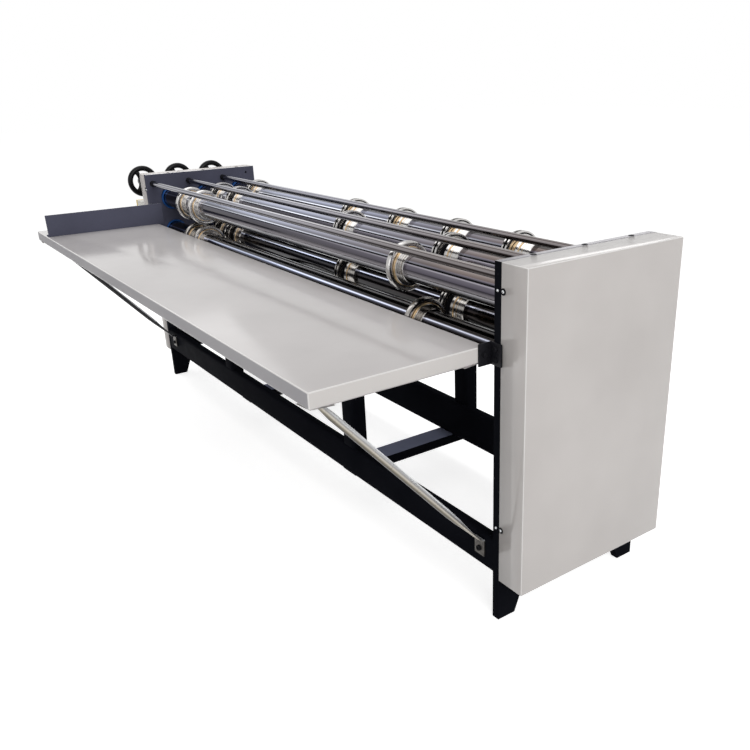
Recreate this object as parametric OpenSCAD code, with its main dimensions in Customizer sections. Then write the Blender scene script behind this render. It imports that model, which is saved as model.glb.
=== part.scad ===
// Paperboard slitter scorer: three pairs of geared tool shafts between two upright walls,
// with a feed table in front and sheet-metal covers over the ends.
// X runs along the shafts, Y from the feed side to the back, Z up from the floor.

/* [Walls] */
// Clear width between the two upright walls
wall_gap = 2768; // [2000:1:3200]
// Thickness of each wall plate
wall_t = 28; // [20:1:40]
// Height of the walls
wall_h = 1100; // [1085:1:1250]
// Depth of the walls from front to back
wall_d = 600; // [590:1:760]
// Height of the arch between the two feet of a wall
foot_h = 145; // [100:1:150]
// Length of each foot on the floor
foot_l = 66; // [40:1:100]
// Length that each foot gains up to the arch
foot_slope = 59; // [20:1:80]

/* [Beams and middle frames] */
// Height of the floor side of the two long beams
beam_z = 155; // [152:1:200]
// Height of the rear beam channel
beam_h = 150; // [110:1:180]
// Height of the front beam channel
front_beam_h = 114; // [110:1:150]
// Width of the lower flange of the beam channels
beam_w = 75; // [50:1:85]
// Width of the upper lip of the beam channels
beam_lip = 34; // [18:1:48]
// Plate thickness of the beam channels
beam_t = 8; // [5:1:12]
// Front face of the rear beam, from the front edge of the walls
rear_beam_y = 510; // [470:1:512]
// Distance of the right middle frame from the right wall
frame_in = 787; // [500:1:1000]
// Width of the middle frame posts along the beams
post_w = 78; // [50:1:100]
// Depth of the middle frame posts
post_d = 58; // [35:1:60]
// Height of the top of the middle frames
rail_z = 690; // [600:1:700]
// Height of the rails that close the middle frames
rail_h = 40; // [25:1:60]
// Width of the ties under the beams
tie_w = 102; // [60:1:120]
// Height of the ties under the beams
tie_h = 38; // [25:1:50]
// Distance of the right tie from the right wall
tie_in = 853; // [500:1:1100]
// Start of the ties under the front beam, from its front face
tie_start = 40; // [5:1:45]

/* [Tool shafts] */
// Distance between neighbouring shaft pairs
shaft_pitch = 192; // [188:1:194]
// Front shaft pair, from the front edge of the walls
front_shaft_y = 122; // [118:1:124]
// Height of the lower shafts
lower_z = 804; // [798:1:806]
// Diameter of the tool shafts
shaft_d = 92; // [80:1:94]
// Wall thickness of the tool shaft tubes
shaft_wall = 14; // [10:1:16]
// Diameter of the shaft journals
journal_d = 60; // [50:1:66]
// Diameter of the gear seats
seat_d = 50; // [40:1:56]
// Outer diameter of the bearing noses that show inside the walls
nose_d = 110; // [106:1:114]
// Length of the bearing noses inside the walls
nose_l = 8; // [5:1:12]
// Thickness of the bearing flanges and slides
slide_t = 20; // [16:1:24]
// Diameter of the lower bearing flanges
flange_d = 150; // [140:1:156]
// Half the height of the upper bearing slides
slide_half = 60; // [58:1:62]
// Radial running clearance of the journals and rods
run_gap = 0.05; // [0.03:0.01:0.09]

/* [Gear train] */
// Module of the shaft gears, which sets the shaft distance with the teeth
gear_m = 4; // [3.97:0.01:4.02]
// Teeth of each shaft gear
gear_n = 42; // [42:1:42]
// Teeth of each idler gear
idler_n = 33; // [30:1:36]
// Teeth of the motor pinion
pinion_n = 24; // [20:1:27]
// Face width of the gears
gear_w = 32; // [24:1:36]
// Play between meshing teeth
backlash = 0.8; // [0.5:0.1:1.2]
// Diameter of the idler stubs
stub_d = 36; // [28:1:44]
// Diameter of the motor body
motor_d = 170; // [140:1:190]
// Length of the motor body
motor_l = 230; // [180:1:280]
// Diameter of the motor shaft
motor_shaft_d = 28; // [24:1:34]

/* [Gap setting] */
// Height that the upper shafts lift
gap_lift = 6; // [3:0.5:7]
// Diameter of the setting rods
rod_d = 25; // [24:0.5:27]
// Distance of each rod in front of its upper shaft
rod_front = 92; // [90:1:96]
// Height of each rod above its upper shaft
rod_up = 82; // [78:1:86]
// Module of the rack and rod pinion
rack_m = 1.25; // [1.2:0.01:1.3]
// Teeth of the rod pinion
rack_n = 16; // [16:1:16]
// Diameter of the handwheels
handwheel_d = 160; // [130:1:176]
// Diameter of the handwheel rims
rim_d = 25; // [18:1:30]
// Distance of the handwheels from the left cover
handwheel_off = 50; // [40:1:70]

/* [Tools] */
// Free gap between upper and lower tools
nip_gap = 5; // [3:0.5:8]
// Width of the tool rims
rim_w = 24; // [16:1:28]
// Width of the grooves beside the tool rims
groove_w = 22; // [12:1:26]
// Wall of the grooves outside the shafts
groove_wall = 6; // [4:1:10]
// Width of the tool shoulders
shoulder_w = 14; // [10:1:20]
// Width of the tool hubs
hub_w = 50; // [40:1:56]
// Wall of the hubs outside the shafts
hub_wall = 12; // [8:1:15]
// Height of the shoulders outside the hubs
shoulder_h = 6; // [3:1:14]
// Width of the collars beside the rims of the front tools
collar_w = 8; // [5:1:14]
// Height of the collars outside the front sleeves
collar_h = 14; // [8:1:20]
// Width of the sleeves of the front tools
sleeve_w = 26; // [18:1:60]
// Wall of the sleeves outside the shafts
sleeve_wall = 6; // [4:1:10]
// Places of the front upper tools, from the right wall
front_upper = [2490, 2325, 584];
// Places of the front lower tools, from the right wall
front_lower = [2445, 2320, 497];
// Places of the middle upper tools, from the right wall
mid_upper = [2545, 2330, 1255, 600];
// Places of the middle lower tools, from the right wall
mid_lower = [2545, 2360, 1265, 570];
// Places of the rear upper tools, from the right wall
rear_upper = [2525, 1530, 1165, 810, 470];
// Places of the rear lower tools, from the right wall
rear_lower = [2525, 1530, 1165, 810, 470];

/* [Covers] */
// Depth of the right cover
right_cover_d = 98; // [92:1:130]
// Depth of the left cover
left_cover_d = 75; // [60:1:110]
// Height of the covers' lower edge
cover_z = 140; // [120:1:160]
// Sheet thickness of the covers
cover_t = 2; // [1.5:0.5:3]
// Height of the upper cover screws
screw_top_z = 1024; // [1016:1:1034]
// Height of the lower cover screws
screw_low_z = 318; // [260:1:400]
// Diameter of the cover screws
screw_d = 6; // [5:1:8]

/* [Feed table] */
// Height of the table top
table_z = 872; // [866:1:878]
// Thickness of the table
table_h = 44; // [38:1:46]
// Depth of the table
table_d = 533; // [450:1:650]
// Gap between the table and the walls
table_gap = 18; // [12:1:24]
// Distance of the table's right end from the right wall
table_right = 12; // [8:1:20]
// Length that the table reaches past the inside of the left wall
table_left = 60; // [52:1:90]
// Sheet thickness of the table
table_t = 3; // [2:0.5:4]
// Width of the lip folded in under the table
table_lip = 72; // [60:1:100]
// Diameter of the struts
strut_d = 23; // [18:1:38]
// Width of the flat feet of the struts
strut_foot_w = 44; // [30:1:60]
// Height of the flat feet of the struts below the tube
strut_foot_h = 54; // [40:1:60]
// Distance of the right strut from the right wall
strut_right = 56; // [24:1:80]
// Distance of the left strut from the left wall
strut_left = 88; // [40:1:300]
// Height at which the strut tubes reach the front beam
strut_z = 250; // [220:1:270]
// Distance of the upper strut ends from the table's front
strut_in = 46; // [30:1:60]
// Height of the side fence above the table
fence_h = 101; // [70:1:130]
// Sheet thickness of the side fence
fence_t = 5; // [3:1:7]
// Distance of the side fence from the left wall
fence_in = 161; // [110:1:260]
// Width of the fence's foot
fence_foot = 40; // [30:1:60]
// Travel of the fence towards the left end of the table
fence_out = 60; // [30:1:70]
// Travel of the fence towards the middle of the table
fence_to_mid = 15; // [5:1:15]

/* [Stop switch] */
// Depth of the stop box
box_x = 120; // [80:1:140]
// Width of the stop box
box_y = 80; // [60:1:110]
// Height of the stop box
box_z = 110; // [80:1:130]
// Height of the top of the stop box
box_top = 950; // [930:1:960]
// Thickness of the stop box lid
lid_t = 18; // [12:1:24]
// Diameter of the stop button
button_d = 40; // [30:1:50]
// Travel of the stop button
button_travel = 5; // [3:0.5:7]

/* [Hidden] */
$fn = 64;

// Pieces that touch keep a small seat gap, pieces that move past each other a wider one
seat_gap = 0.02;
move_gap = 0.4;
hide = 1;

// Shaft lines from front to back
LINES = ["front", "mid", "rear"];
UPPER = [front_upper, mid_upper, rear_upper];
LOWER = [front_lower, mid_lower, rear_lower];
// Tools of each line that stay clamped at the left, before the ones that slide
CLAMPED = [2, 2, 4];

xi = wall_gap / 2;
xo = xi + wall_t;
gear_r = gear_m * gear_n / 2;
idler_r = gear_m * idler_n / 2;
pinion_r = gear_m * pinion_n / 2;
upper_z = lower_z + 2 * gear_r;
tool_r = gear_r - nip_gap / 2;
hub_r = shaft_d / 2 + hub_wall;
shoulder_r = hub_r + shoulder_h;
groove_r = shaft_d / 2 + groove_wall;
sleeve_r = shaft_d / 2 + sleeve_wall;
collar_r = sleeve_r + collar_h;
tool_w = rim_w + groove_w + shoulder_w + hub_w;
idler_drop = sqrt(pow(gear_r + idler_r, 2) - pow(shaft_pitch / 2, 2));
idler_z = lower_z - idler_drop;
motor_z = idler_z - idler_r - pinion_r;
function shaft_y(k) = front_shaft_y + k * shaft_pitch;
function idler_y(k) = shaft_y(k) + shaft_pitch / 2;
motor_y = idler_y(1);

// Bearings: the shaft body ends in a recess of the nose, the journal runs through
recess = 4;
recess_gap = 0.5;
shaft_end = xi + recess - recess_gap;
bearing_end = xo + slide_t;
gear_x = bearing_end + 6;
right_end = gear_x + gear_w + 8;
left_end = bearing_end + 4;
window_r = nose_d / 2 + move_gap;

// Gap setting: a pinion on each rod end turns against a rack on the bearing slide
rod_z = upper_z + rod_up;
rack_r = rack_m * rack_n / 2;
rack_y = rod_front - rack_r;
rack_pitch = PI * rack_m;
function rod_y(k) = shaft_y(k) - rod_front;
guide_w = 15;
guide_up = 35;
keeper_t = 3.6;
keeper_w = 6;

// Table and fence
table_x0 = -xi - table_left;
table_x1 = xi - table_right;
table_y0 = -table_gap - table_d;
table_under = table_z - table_h;
fence_x = -xi + fence_in;
fence_y0 = table_y0 + 6;
fence_l = table_d + table_gap + 3;
fence_slot_d = 9;
fence_slots = [table_y0 + table_d * 0.2, table_y0 + table_d * 0.8];
strut_xs = [xi - strut_right, -xi + strut_left];
strut_tab = 6;
bracket_t = 5;
bracket_h = 64;
bracket_w = 46;
bolt_d = 8;

// Stop switch
stop_x = -xo - left_cover_d;
stop_y = box_y / 2 + 2;
stop_z = box_top - box_z / 2;
button_h = 22;
button_gap = 3;

// The origin lies under the middle of the whole machine
screw_head = 4;
x_min = stop_x - box_x - lid_t - button_travel - button_gap - button_h;
x_max = xo + right_cover_d;
y_min = table_y0;
y_max = wall_d + screw_head;
shift = [-(x_min + x_max) / 2, -(y_min + y_max) / 2, 0];

// Colours
dark = "#26272f";
pale = "#cbc6c3";
bright = "#c9ccd1";
steel = "#8f9399";
blue = "#1b5fae";
black = "#111111";

// Moves a piece from the frame of the walls to the origin
module place() {
    translate(shift) children();
}

// Extrudes a shape drawn in Y and Z along X
module across(x0, length) {
    translate([x0, 0, 0]) rotate([90, 0, 90]) linear_extrude(length) children();
}

// A round bar along X between two places
module bar_x(x0, x1, y, z, d) {
    translate([x0, y, z]) rotate([0, 90, 0]) cylinder(d = d, h = x1 - x0);
}

// A round bar along X at the right, or mirrored to the left where side is negative
module side_bar(side, x0, x1, y, z, d) {
    bar_x(side > 0 ? x0 : -x1, side > 0 ? x1 : -x0, y, z, d);
}

// A round bar along Y
module bar_y(x, y0, y1, z, d) {
    translate([x, y0, z]) rotate([-90, 0, 0]) cylinder(d = d, h = y1 - y0);
}

// A box between two corners
module box(a, b) {
    translate(a) cube(b - a);
}

// A square tube along Y between two corners
tube_t = 5;
module tube_y(a, b) {
    difference() {
        box(a, b);
        box(a + [tube_t, -hide, tube_t], b + [-tube_t, hide, -tube_t]);
    }
}

// A hexagon bolt head with its shank along Y, head towards the front
module bolt_y(x, y, z, d, shank) {
    translate([x, y, z]) rotate([90, 0, 0]) cylinder(d = 1.8 * d, h = 0.65 * d, $fn = 6);
    bar_y(x, y, y + shank, z, d);
}

// A hexagon bolt head with its shank along X, head on the side that side gives
module bolt_x(x, y, z, d, shank, side) {
    translate([x, y, z]) rotate([0, 90 * side, 0]) cylinder(d = 1.8 * d, h = 0.65 * d, $fn = 6);
    translate([x, y, z]) rotate([0, -90 * side, 0]) cylinder(d = d, h = shank);
}

// Involute tooth: polar angle of the flank, and half the tooth at a radius
function inv(r, rb) = r <= rb ? 0 : sqrt(pow(r / rb, 2) - 1) * 180 / PI - acos(rb / r);
function half_tooth(m, n, r, play) =
    let (rp = m * n / 2, rb = rp * cos(20))
    90 / n - play / 2 / rp * 180 / PI / 2 + inv(rp, rb) - inv(max(r, rb), rb);
function polar(r, a) = [r * cos(a), r * sin(a)];

// Outline of a spur gear with a tooth at the angle phase
module gear_outline(m, n, phase, play) {
    rp = m * n / 2;
    rb = rp * cos(20);
    root = rp - 1.25 * m;
    low = max(rb, root + 0.1 * m);
    radii = [root, low, rp, rp + m];
    polygon([
        for (i = [0 : n - 1])
            let (a = phase + i * 360 / n)
            each concat(
                [for (r = radii) polar(r, a - half_tooth(m, n, r, play))],
                [for (k = [3 : -1 : 0]) polar(radii[k], a + half_tooth(m, n, radii[k], play))])
    ]);
}

// Phase of a gear that meshes with another one standing at the angle th from it
function meshed(phase, n_from, th, n_to) =
    th + 180 + 360 / n_to * (0.5 - (phase - th) * n_from / 360);
idler_angle = atan2(-idler_drop, shaft_pitch / 2);
function idler_phase(k) = k == 1
    ? meshed(90, gear_n, idler_angle, idler_n)
    : meshed(90, gear_n, 180 - idler_angle, idler_n);
function lower_phase(k) = k == 1 ? 90
    : k == 0 ? meshed(idler_phase(0), idler_n, 180 + idler_angle, gear_n)
    : meshed(idler_phase(1), idler_n, -idler_angle, gear_n);
function upper_phase(k) = meshed(lower_phase(k), gear_n, 90, gear_n);

// Wall plate with two feet, seen along X
module wall_outline() {
    polygon([
        [0, 0], [foot_l, 0], [foot_l + foot_slope, foot_h],
        [wall_d - foot_l - foot_slope, foot_h], [wall_d - foot_l, 0], [wall_d, 0],
        [wall_d, wall_h], [0, wall_h]
    ]);
}

// Openings that both walls share
module wall_holes() {
    for (k = [0 : 2]) {
        translate([shaft_y(k), lower_z]) circle(d = nose_d + 2 * seat_gap);
        for (a = [45 : 90 : 315]) {
            translate([shaft_y(k), lower_z] + polar(flange_bolt_r, a)) circle(d = bolt_d + 2 * seat_gap);
        }
        lift_window(shaft_y(k), upper_z);
        translate([rod_y(k), rod_z]) circle(d = rod_d + 2 * run_gap);
    }
    translate([wall_d - 47, wall_h - 31]) circle(d = 12);
}

// Upright opening in which a bearing nose lifts
module lift_window(y, z) {
    translate([y, z]) circle(r = window_r);
    translate([y, z + gap_lift]) circle(r = window_r);
    translate([y - window_r, z]) square([2 * window_r, gap_lift]);
}

// Blocks on a wall, inside its cover, that take the cover's screws
cover_edge = 7;
tab = 16;
module cover_tabs(side) {
    for (z = [screw_low_z, screw_top_z]) {
        for (y = [cover_t, wall_d - cover_t - tab]) {
            difference() {
                box([side > 0 ? xo : -xo - tab, y, z - tab / 2],
                    [side > 0 ? xo + tab : -xo, y + tab, z + tab / 2]);
                bar_y(side * (xo + cover_edge), y - hide, y + tab + hide, z, screw_d);
            }
        }
    }
}

// Threaded holes in the top and front edges of a wall
lock_d = 16;
lock_z = upper_z + window_r + gap_lift + 1;
module edge_holes(side) {
    for (k = [0 : 2]) {
        translate([side * (xi + wall_t / 2), shaft_y(k), upper_z]) cylinder(d = lock_d, h = wall_h);
    }
    for (z = [screw_low_z, screw_top_z]) {
        bar_y(side * (xi + wall_t / 2), -hide, tab, z, screw_d);
    }
    bar_y(side * (xi + wall_t / 2), -hide, tab, wall_h - 33, screw_d);
}

module left_wall() {
    place() color(dark) {
        difference() {
            across(-xo, wall_t) difference() {
                wall_outline();
                wall_holes();
            }
            edge_holes(-1);
        }
    }
}

module right_wall() {
    place() color(dark) {
        difference() {
            across(xi, wall_t) difference() {
                wall_outline();
                wall_holes();
                for (k = [0, 1]) {
                    translate([idler_y(k), idler_z]) circle(d = stub_d + 2 * run_gap);
                }
                translate([motor_y, motor_z]) circle(d = 2 * motor_shaft_d);
            }
            edge_holes(1);
        }
    }
}

// Channel beam of height h with its web at the front and a narrow upper lip
module channel(y, h) {
    across(-xi, wall_gap) difference() {
        translate([y, beam_z]) square([beam_w, h]);
        translate([y + beam_t, beam_z + beam_t]) square([beam_w, h - 2 * beam_t]);
        translate([y + beam_lip, beam_z + beam_t]) square([beam_w, h]);
    }
}

module front_beam() {
    place() color(dark) channel(0, front_beam_h);
}

module rear_beam() {
    place() color(dark) channel(rear_beam_y, beam_h);
}

// Middle frames, one on each side of the machine's middle: the posts stand on the lips of the beams,
// and their sides reach down behind the lips to the lower flanges
post_x = xi - frame_in - post_w;
rear_post_y = rear_beam_y + beam_lip / 2;
// Front face of each post, top of its beam and rear edge of that beam's lip
post_feet = [[0, beam_z + front_beam_h, beam_lip], [rear_post_y, beam_z + beam_h, rear_beam_y + beam_lip]];
module middle_posts() {
    place() color(dark) for (x = [post_x, -post_x - post_w]) {
        for (foot = post_feet) {
            difference() {
                union() {
                    box([x, foot[0], foot[1]], [x + post_w, foot[0] + post_d, rail_z - rail_h]);
                    box([x, foot[2], beam_z + beam_t], [x + post_w, foot[0] + post_d, foot[1] + hide]);
                }
                box([x + beam_t, foot[0] + beam_t, beam_z],
                    [x + post_w - beam_t, foot[0] + post_d + hide, rail_z]);
            }
        }
    }
}

tie_x = xi - tie_in - tie_w;
module middle_rails() {
    place() color(dark) {
        for (x = [post_x, -post_x - post_w]) {
            tube_y([x, 0, rail_z - rail_h], [x + post_w, rear_post_y + post_d, rail_z]);
        }
        for (x = [tie_x, -tie_x - tie_w]) {
            tube_y([x, tie_start, beam_z - tie_h], [x + tie_w, rear_beam_y + beam_w, beam_z]);
        }
    }
}

// Folded sheet cover, open towards the wall, with notches for its screws
module cover(side, depth) {
    x0 = side > 0 ? xo : -xo - depth;
    difference() {
        box([x0, 0, cover_z], [x0 + depth, wall_d, wall_h]);
        box([side > 0 ? xo - hide : -xo - depth + cover_t, cover_t, cover_z + cover_t],
            [side > 0 ? xo + depth - cover_t : -xo + hide, wall_d - cover_t, wall_h - cover_t]);
        for (z = [screw_low_z, screw_top_z]) {
            bar_y(side * (xo + cover_edge), -hide, wall_d + hide, z, screw_d + 1);
        }
    }
}

module right_cover() {
    place() color(pale) cover(1, right_cover_d);
}

module left_cover() {
    place() color(pale) difference() {
        cover(-1, left_cover_d);
        for (k = [0 : 2]) {
            bar_x(stop_x - hide, stop_x + cover_t + hide, rod_y(k), rod_z, rod_d + 6);
        }
    }
}

// Screws of the covers with the blocks they hold in, screws in the wall edges and locking screws
// over the bearing slides
module cover_screws() {
    head = 1.9 * screw_d;
    place() color(bright) for (side = [-1, 1]) {
        cover_tabs(side);
        for (z = [screw_low_z, screw_top_z]) {
            bar_y(side * (xo + cover_edge), -screw_head, 0, z, head);
            bar_y(side * (xo + cover_edge), -screw_head, tab, z, screw_d - 2 * seat_gap);
            bar_y(side * (xo + cover_edge), wall_d, wall_d + screw_head, z, head);
            bar_y(side * (xo + cover_edge), wall_d - tab, wall_d + 2, z, screw_d - 2 * seat_gap);
            bar_y(side * (xi + wall_t / 2), -3, 0, z, head);
            bar_y(side * (xi + wall_t / 2), -3, tab, z, screw_d - 2 * seat_gap);
        }
        for (k = [0 : 2]) {
            translate([side * (xi + wall_t / 2), shaft_y(k), lock_z]) difference() {
                cylinder(d = lock_d - 2 * seat_gap, h = wall_h - lock_z - 3);
                translate([0, 0, wall_h - lock_z - 11]) cylinder(d = lock_d / 2, h = lock_d, $fn = 6);
            }
        }
    }
}

// Bolts that hold the beams, the posts and the lower bearings
flange_bolt_r = (flange_d / 2 + nose_d / 2) / 2;
module frame_bolts() {
    place() color(steel) for (side = [-1, 1]) {
        for (k = [0 : 2]) {
            for (a = [45 : 90 : 315]) {
                p = polar(flange_bolt_r, a);
                bolt_x(side * bearing_end, shaft_y(k) + p[0], lower_z + p[1],
                       bolt_d, slide_t + wall_t / 2, side);
            }
        }
    }
}

// Cast bearing with a round nose through the wall, bored for a journal
module bearing_bore(side, y, z) {
    side_bar(side, xi - nose_l - hide, xi + recess, y, z, shaft_d + 6);
    side_bar(side, xi, bearing_end + hide, y, z, journal_d + 2 * run_gap);
}

module lower_bearings() {
    place() color(blue) for (side = [-1, 1]) {
        for (k = [0 : 2]) {
            difference() {
                union() {
                    side_bar(side, xi - nose_l, xo + hide, shaft_y(k), lower_z, nose_d);
                    side_bar(side, xo, bearing_end, shaft_y(k), lower_z, flange_d);
                }
                bearing_bore(side, shaft_y(k), lower_z);
                for (a = [45 : 90 : 315]) {
                    p = polar(flange_bolt_r, a);
                    side_bar(side, xo - hide, bearing_end + hide, shaft_y(k) + p[0], lower_z + p[1],
                             bolt_d + 2 * seat_gap);
                }
            }
        }
    }
}

// Upper bearings: plates that slide up the outside of the walls, with a rack at the front
module slide_outline(k) {
    y0 = shaft_y(k) - rack_y + 1.25 * rack_m;
    y1 = shaft_y(k) + slide_half;
    zp = rod_z - upper_z;
    translate([y0, upper_z - slide_half]) square([y1 - y0, 2 * slide_half]);
    translate([y0, upper_z - slide_half]) square([12, slide_half + zp + 4 * rack_pitch]);
    // Teeth of the rack stand opposite the gaps of the rod pinion
    for (i = [-4 : 3]) {
        translate([y0, rod_z + (i + 0.5) * rack_pitch]) polygon([
            [0.1, -rack_pitch / 4 - 0.46 * rack_m + 0.08], [-1.25 * rack_m, -rack_pitch / 4 + 0.08],
            [-2.25 * rack_m, -rack_pitch / 4 + 0.36 * rack_m + 0.08],
            [-2.25 * rack_m, rack_pitch / 4 - 0.36 * rack_m - 0.08],
            [-1.25 * rack_m, rack_pitch / 4 - 0.08], [0.1, rack_pitch / 4 + 0.46 * rack_m - 0.08]
        ]);
    }
}

module bearing_slide(k) {
    place() color(blue) for (side = [-1, 1]) {
        difference() {
            union() {
                across(side > 0 ? xo + move_gap : -bearing_end, slide_t - move_gap) slide_outline(k);
                side_bar(side, xi - nose_l, xo + 2, shaft_y(k), upper_z, nose_d);
            }
            bearing_bore(side, shaft_y(k), upper_z);
        }
    }
}

// Guide strips beside the slides on the outside of the walls, with keepers over their edges
module slide_guide(side, y, lip_y) {
    low = upper_z - slide_half;
    high = upper_z + guide_up;
    deep = bearing_end + move_gap;
    box([side > 0 ? xo : -deep, y, low], [side > 0 ? deep : -xo, y + guide_w, high]);
    box([side > 0 ? deep - seat_gap : -deep - keeper_t, lip_y, low],
        [side > 0 ? deep + keeper_t : -deep + seat_gap, lip_y + guide_w + keeper_w, high]);
}

module slide_guides() {
    place() color(steel) for (side = [-1, 1]) {
        for (k = [0 : 2]) {
            y0 = shaft_y(k) - rack_y + 1.25 * rack_m - move_gap - guide_w;
            y1 = shaft_y(k) + slide_half + move_gap;
            slide_guide(side, y0, y0);
            slide_guide(side, y1, y1 - keeper_w);
        }
    }
}

// Tube with turned ends: journals in both bearings and a gear seat at the right
module shaft(y, z) {
    difference() {
        union() {
            bar_x(-shaft_end, shaft_end, y, z, shaft_d);
            bar_x(-left_end, bearing_end + 2, y, z, journal_d);
            bar_x(0, right_end, y, z, seat_d);
        }
        bar_x(-shaft_end + 120, shaft_end - 120, y, z, shaft_d - 2 * shaft_wall);
    }
}

module lower_shaft(k) {
    place() color(bright) shaft(shaft_y(k), lower_z);
}

module upper_shaft(k) {
    place() color(bright) shaft(shaft_y(k), upper_z);
}

// Spur gear on a shaft seat
module shaft_gear(y, z, phase) {
    across(gear_x, gear_w) translate([y, z]) difference() {
        gear_outline(gear_m, gear_n, phase, backlash);
        circle(d = seat_d + 2 * seat_gap);
    }
}

module lower_gear(k) {
    place() color(steel) shaft_gear(shaft_y(k), lower_z, lower_phase(k));
}

module upper_gear(k) {
    place() color(steel) shaft_gear(shaft_y(k), upper_z, upper_phase(k));
}

// Idler between two lower gears, with its own stub in the wall
module idler_gear(k) {
    place() color(steel) {
        across(gear_x, gear_w) translate([idler_y(k), idler_z])
            gear_outline(gear_m, idler_n, idler_phase(k), backlash);
        bar_x(xi, gear_x + hide, idler_y(k), idler_z, stub_d);
    }
}

// Flange motor on the inside of the right wall
motor_flange = 14;
motor_seat = 70;
module drive_motor() {
    ribs = 16;
    place() color(dark) difference() {
        union() {
            bar_x(xi - motor_flange, xi, motor_y, motor_z, motor_d + 40);
            bar_x(xi - motor_l + 40, xi - motor_flange, motor_y, motor_z, motor_d - 16);
            bar_x(xi - motor_l, xi - motor_l + 50, motor_y, motor_z, motor_d);
            for (i = [0 : ribs - 1]) {
                translate([0, motor_y, motor_z]) rotate([i * 360 / ribs, 0, 0])
                    box([xi - motor_l + 40, -2, motor_d / 4], [xi - motor_flange, 2, motor_d / 2]);
            }
            box([xi - motor_l + 70, motor_y - 45, motor_z + motor_d / 4],
                [xi - 60, motor_y + 45, motor_z + motor_d / 2 + 20]);
        }
        bar_x(xi - motor_seat, xi + hide, motor_y, motor_z, motor_shaft_d + 2 * run_gap);
    }
}

module motor_pinion() {
    place() color(steel) {
        across(gear_x, gear_w) translate([motor_y, motor_z])
            gear_outline(gear_m, pinion_n, meshed(idler_phase(1), idler_n, -90, pinion_n), backlash);
        bar_x(xi - motor_seat + 2, gear_x + hide, motor_y, motor_z, motor_shaft_d);
    }
}

// Rod through both walls with a pinion cut on each end against the racks
module setting_rod(k) {
    neck = 2;
    place() color(bright) {
        difference() {
            bar_x(-xo - left_cover_d - handwheel_off - 14, xo, rod_y(k), rod_z, rod_d);
            bar_x(-bearing_end - neck, -xo - move_gap / 2, rod_y(k), rod_z, rod_d + 2);
        }
        for (x = [xo - hide, -bearing_end - neck - hide]) {
            across(x, slide_t + neck + 2 * hide - move_gap) translate([rod_y(k), rod_z])
                gear_outline(rack_m, rack_n, 0, 0.3);
        }
    }
}

// Dished handwheel with three spokes and a hub on the rod
module handwheel(k) {
    x = -xo - left_cover_d - handwheel_off;
    hub = 2 * rod_d;
    place() color(black) difference() {
        translate([x, rod_y(k), rod_z]) rotate([0, -90, 0]) {
            rotate_extrude($fn = 96) translate([(handwheel_d - rim_d) / 2, 0]) circle(d = rim_d);
            translate([0, 0, -handwheel_off / 3]) cylinder(d = hub, h = handwheel_off / 3 + 16);
            for (a = [90 : 120 : 330]) {
                rotate([0, 0, a]) translate([rod_d / 2 + 2, 0, 0]) rotate([0, 90, 0])
                    cylinder(d = rim_d * 0.8, h = (handwheel_d - rim_d) / 2 - rod_d / 2 - 2);
            }
        }
        bar_x(x - 14 - seat_gap, x + handwheel_off, rod_y(k), rod_z, rod_d + 2 * seat_gap);
    }
}

// Tool of the front line: rim, collar and a slim sleeve, bored to slide on its shaft
tool_edge = 3;
tool_bore = shaft_d / 2 + run_gap;
module slim_tool() {
    c = rim_w + collar_w;
    w = c + sleeve_w;
    rotate_extrude($fn = 96) polygon([
        [tool_bore, 0], [tool_r - tool_edge, 0], [tool_r, tool_edge], [tool_r, rim_w - tool_edge],
        [tool_r - tool_edge, rim_w], [collar_r, rim_w], [collar_r, c], [sleeve_r, c], [sleeve_r, w],
        [tool_bore, w]
    ]);
}

// Tool of the other lines: rim, deep groove, shoulder and hub turned from one blank
module grooved_tool() {
    g = rim_w + groove_w;
    s = g + shoulder_w;
    rotate_extrude($fn = 96) polygon([
        [tool_bore, 0], [tool_r - tool_edge, 0], [tool_r, tool_edge], [tool_r, rim_w - tool_edge],
        [tool_r - tool_edge, rim_w], [groove_r, rim_w], [groove_r, g], [shoulder_r - tool_edge, g],
        [shoulder_r, g + tool_edge], [shoulder_r, s], [hub_r, s], [hub_r, tool_w - tool_edge],
        [hub_r - tool_edge, tool_w], [tool_bore, tool_w]
    ]);
}

// Tool of line k whose rim starts at x, on a shaft at the height z
module tool(k, x, z) {
    translate([x, shaft_y(k), z]) rotate([0, 90, 0]) {
        if (k == 0) slim_tool();
        else grooved_tool();
    }
}

// Tools of a line that stay clamped beside the side fence
module upper_tools(k) {
    place() color(bright) for (i = [0 : CLAMPED[k] - 1]) {
        tool(k, xi - UPPER[k][i], upper_z);
    }
}

module lower_tools(k) {
    place() color(bright) for (i = [0 : CLAMPED[k] - 1]) {
        tool(k, xi - LOWER[k][i], lower_z);
    }
}

// Tools that are set along the shaft, counted from the left
module upper_tool(k, i) {
    place() color(bright) tool(k, xi - UPPER[k][CLAMPED[k] + i - 1], upper_z);
}

module lower_tool(k, i) {
    place() color(bright) tool(k, xi - LOWER[k][CLAMPED[k] + i - 1], lower_z);
}

// Sheet-metal tray turned upside down, with slots for the fence screws
module feed_table() {
    place() color(pale) difference() {
        box([table_x0, table_y0, table_under], [table_x1, table_y0 + table_d, table_z]);
        box([table_x0 + table_t, table_y0 + table_t, table_under + table_t],
            [table_x1 - table_t, table_y0 + table_d - table_t, table_z - table_t]);
        box([table_x0 + table_lip, table_y0 + table_lip, table_under - hide],
            [table_x1 - table_lip, table_y0 + table_d - table_lip, table_z - table_t]);
        for (y = fence_slots) {
            fence_slot(y);
        }
        bar_x(table_x1 - table_t - hide, table_x1 + hide, bracket_y, bracket_z, bolt_d);
    }
}

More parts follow.
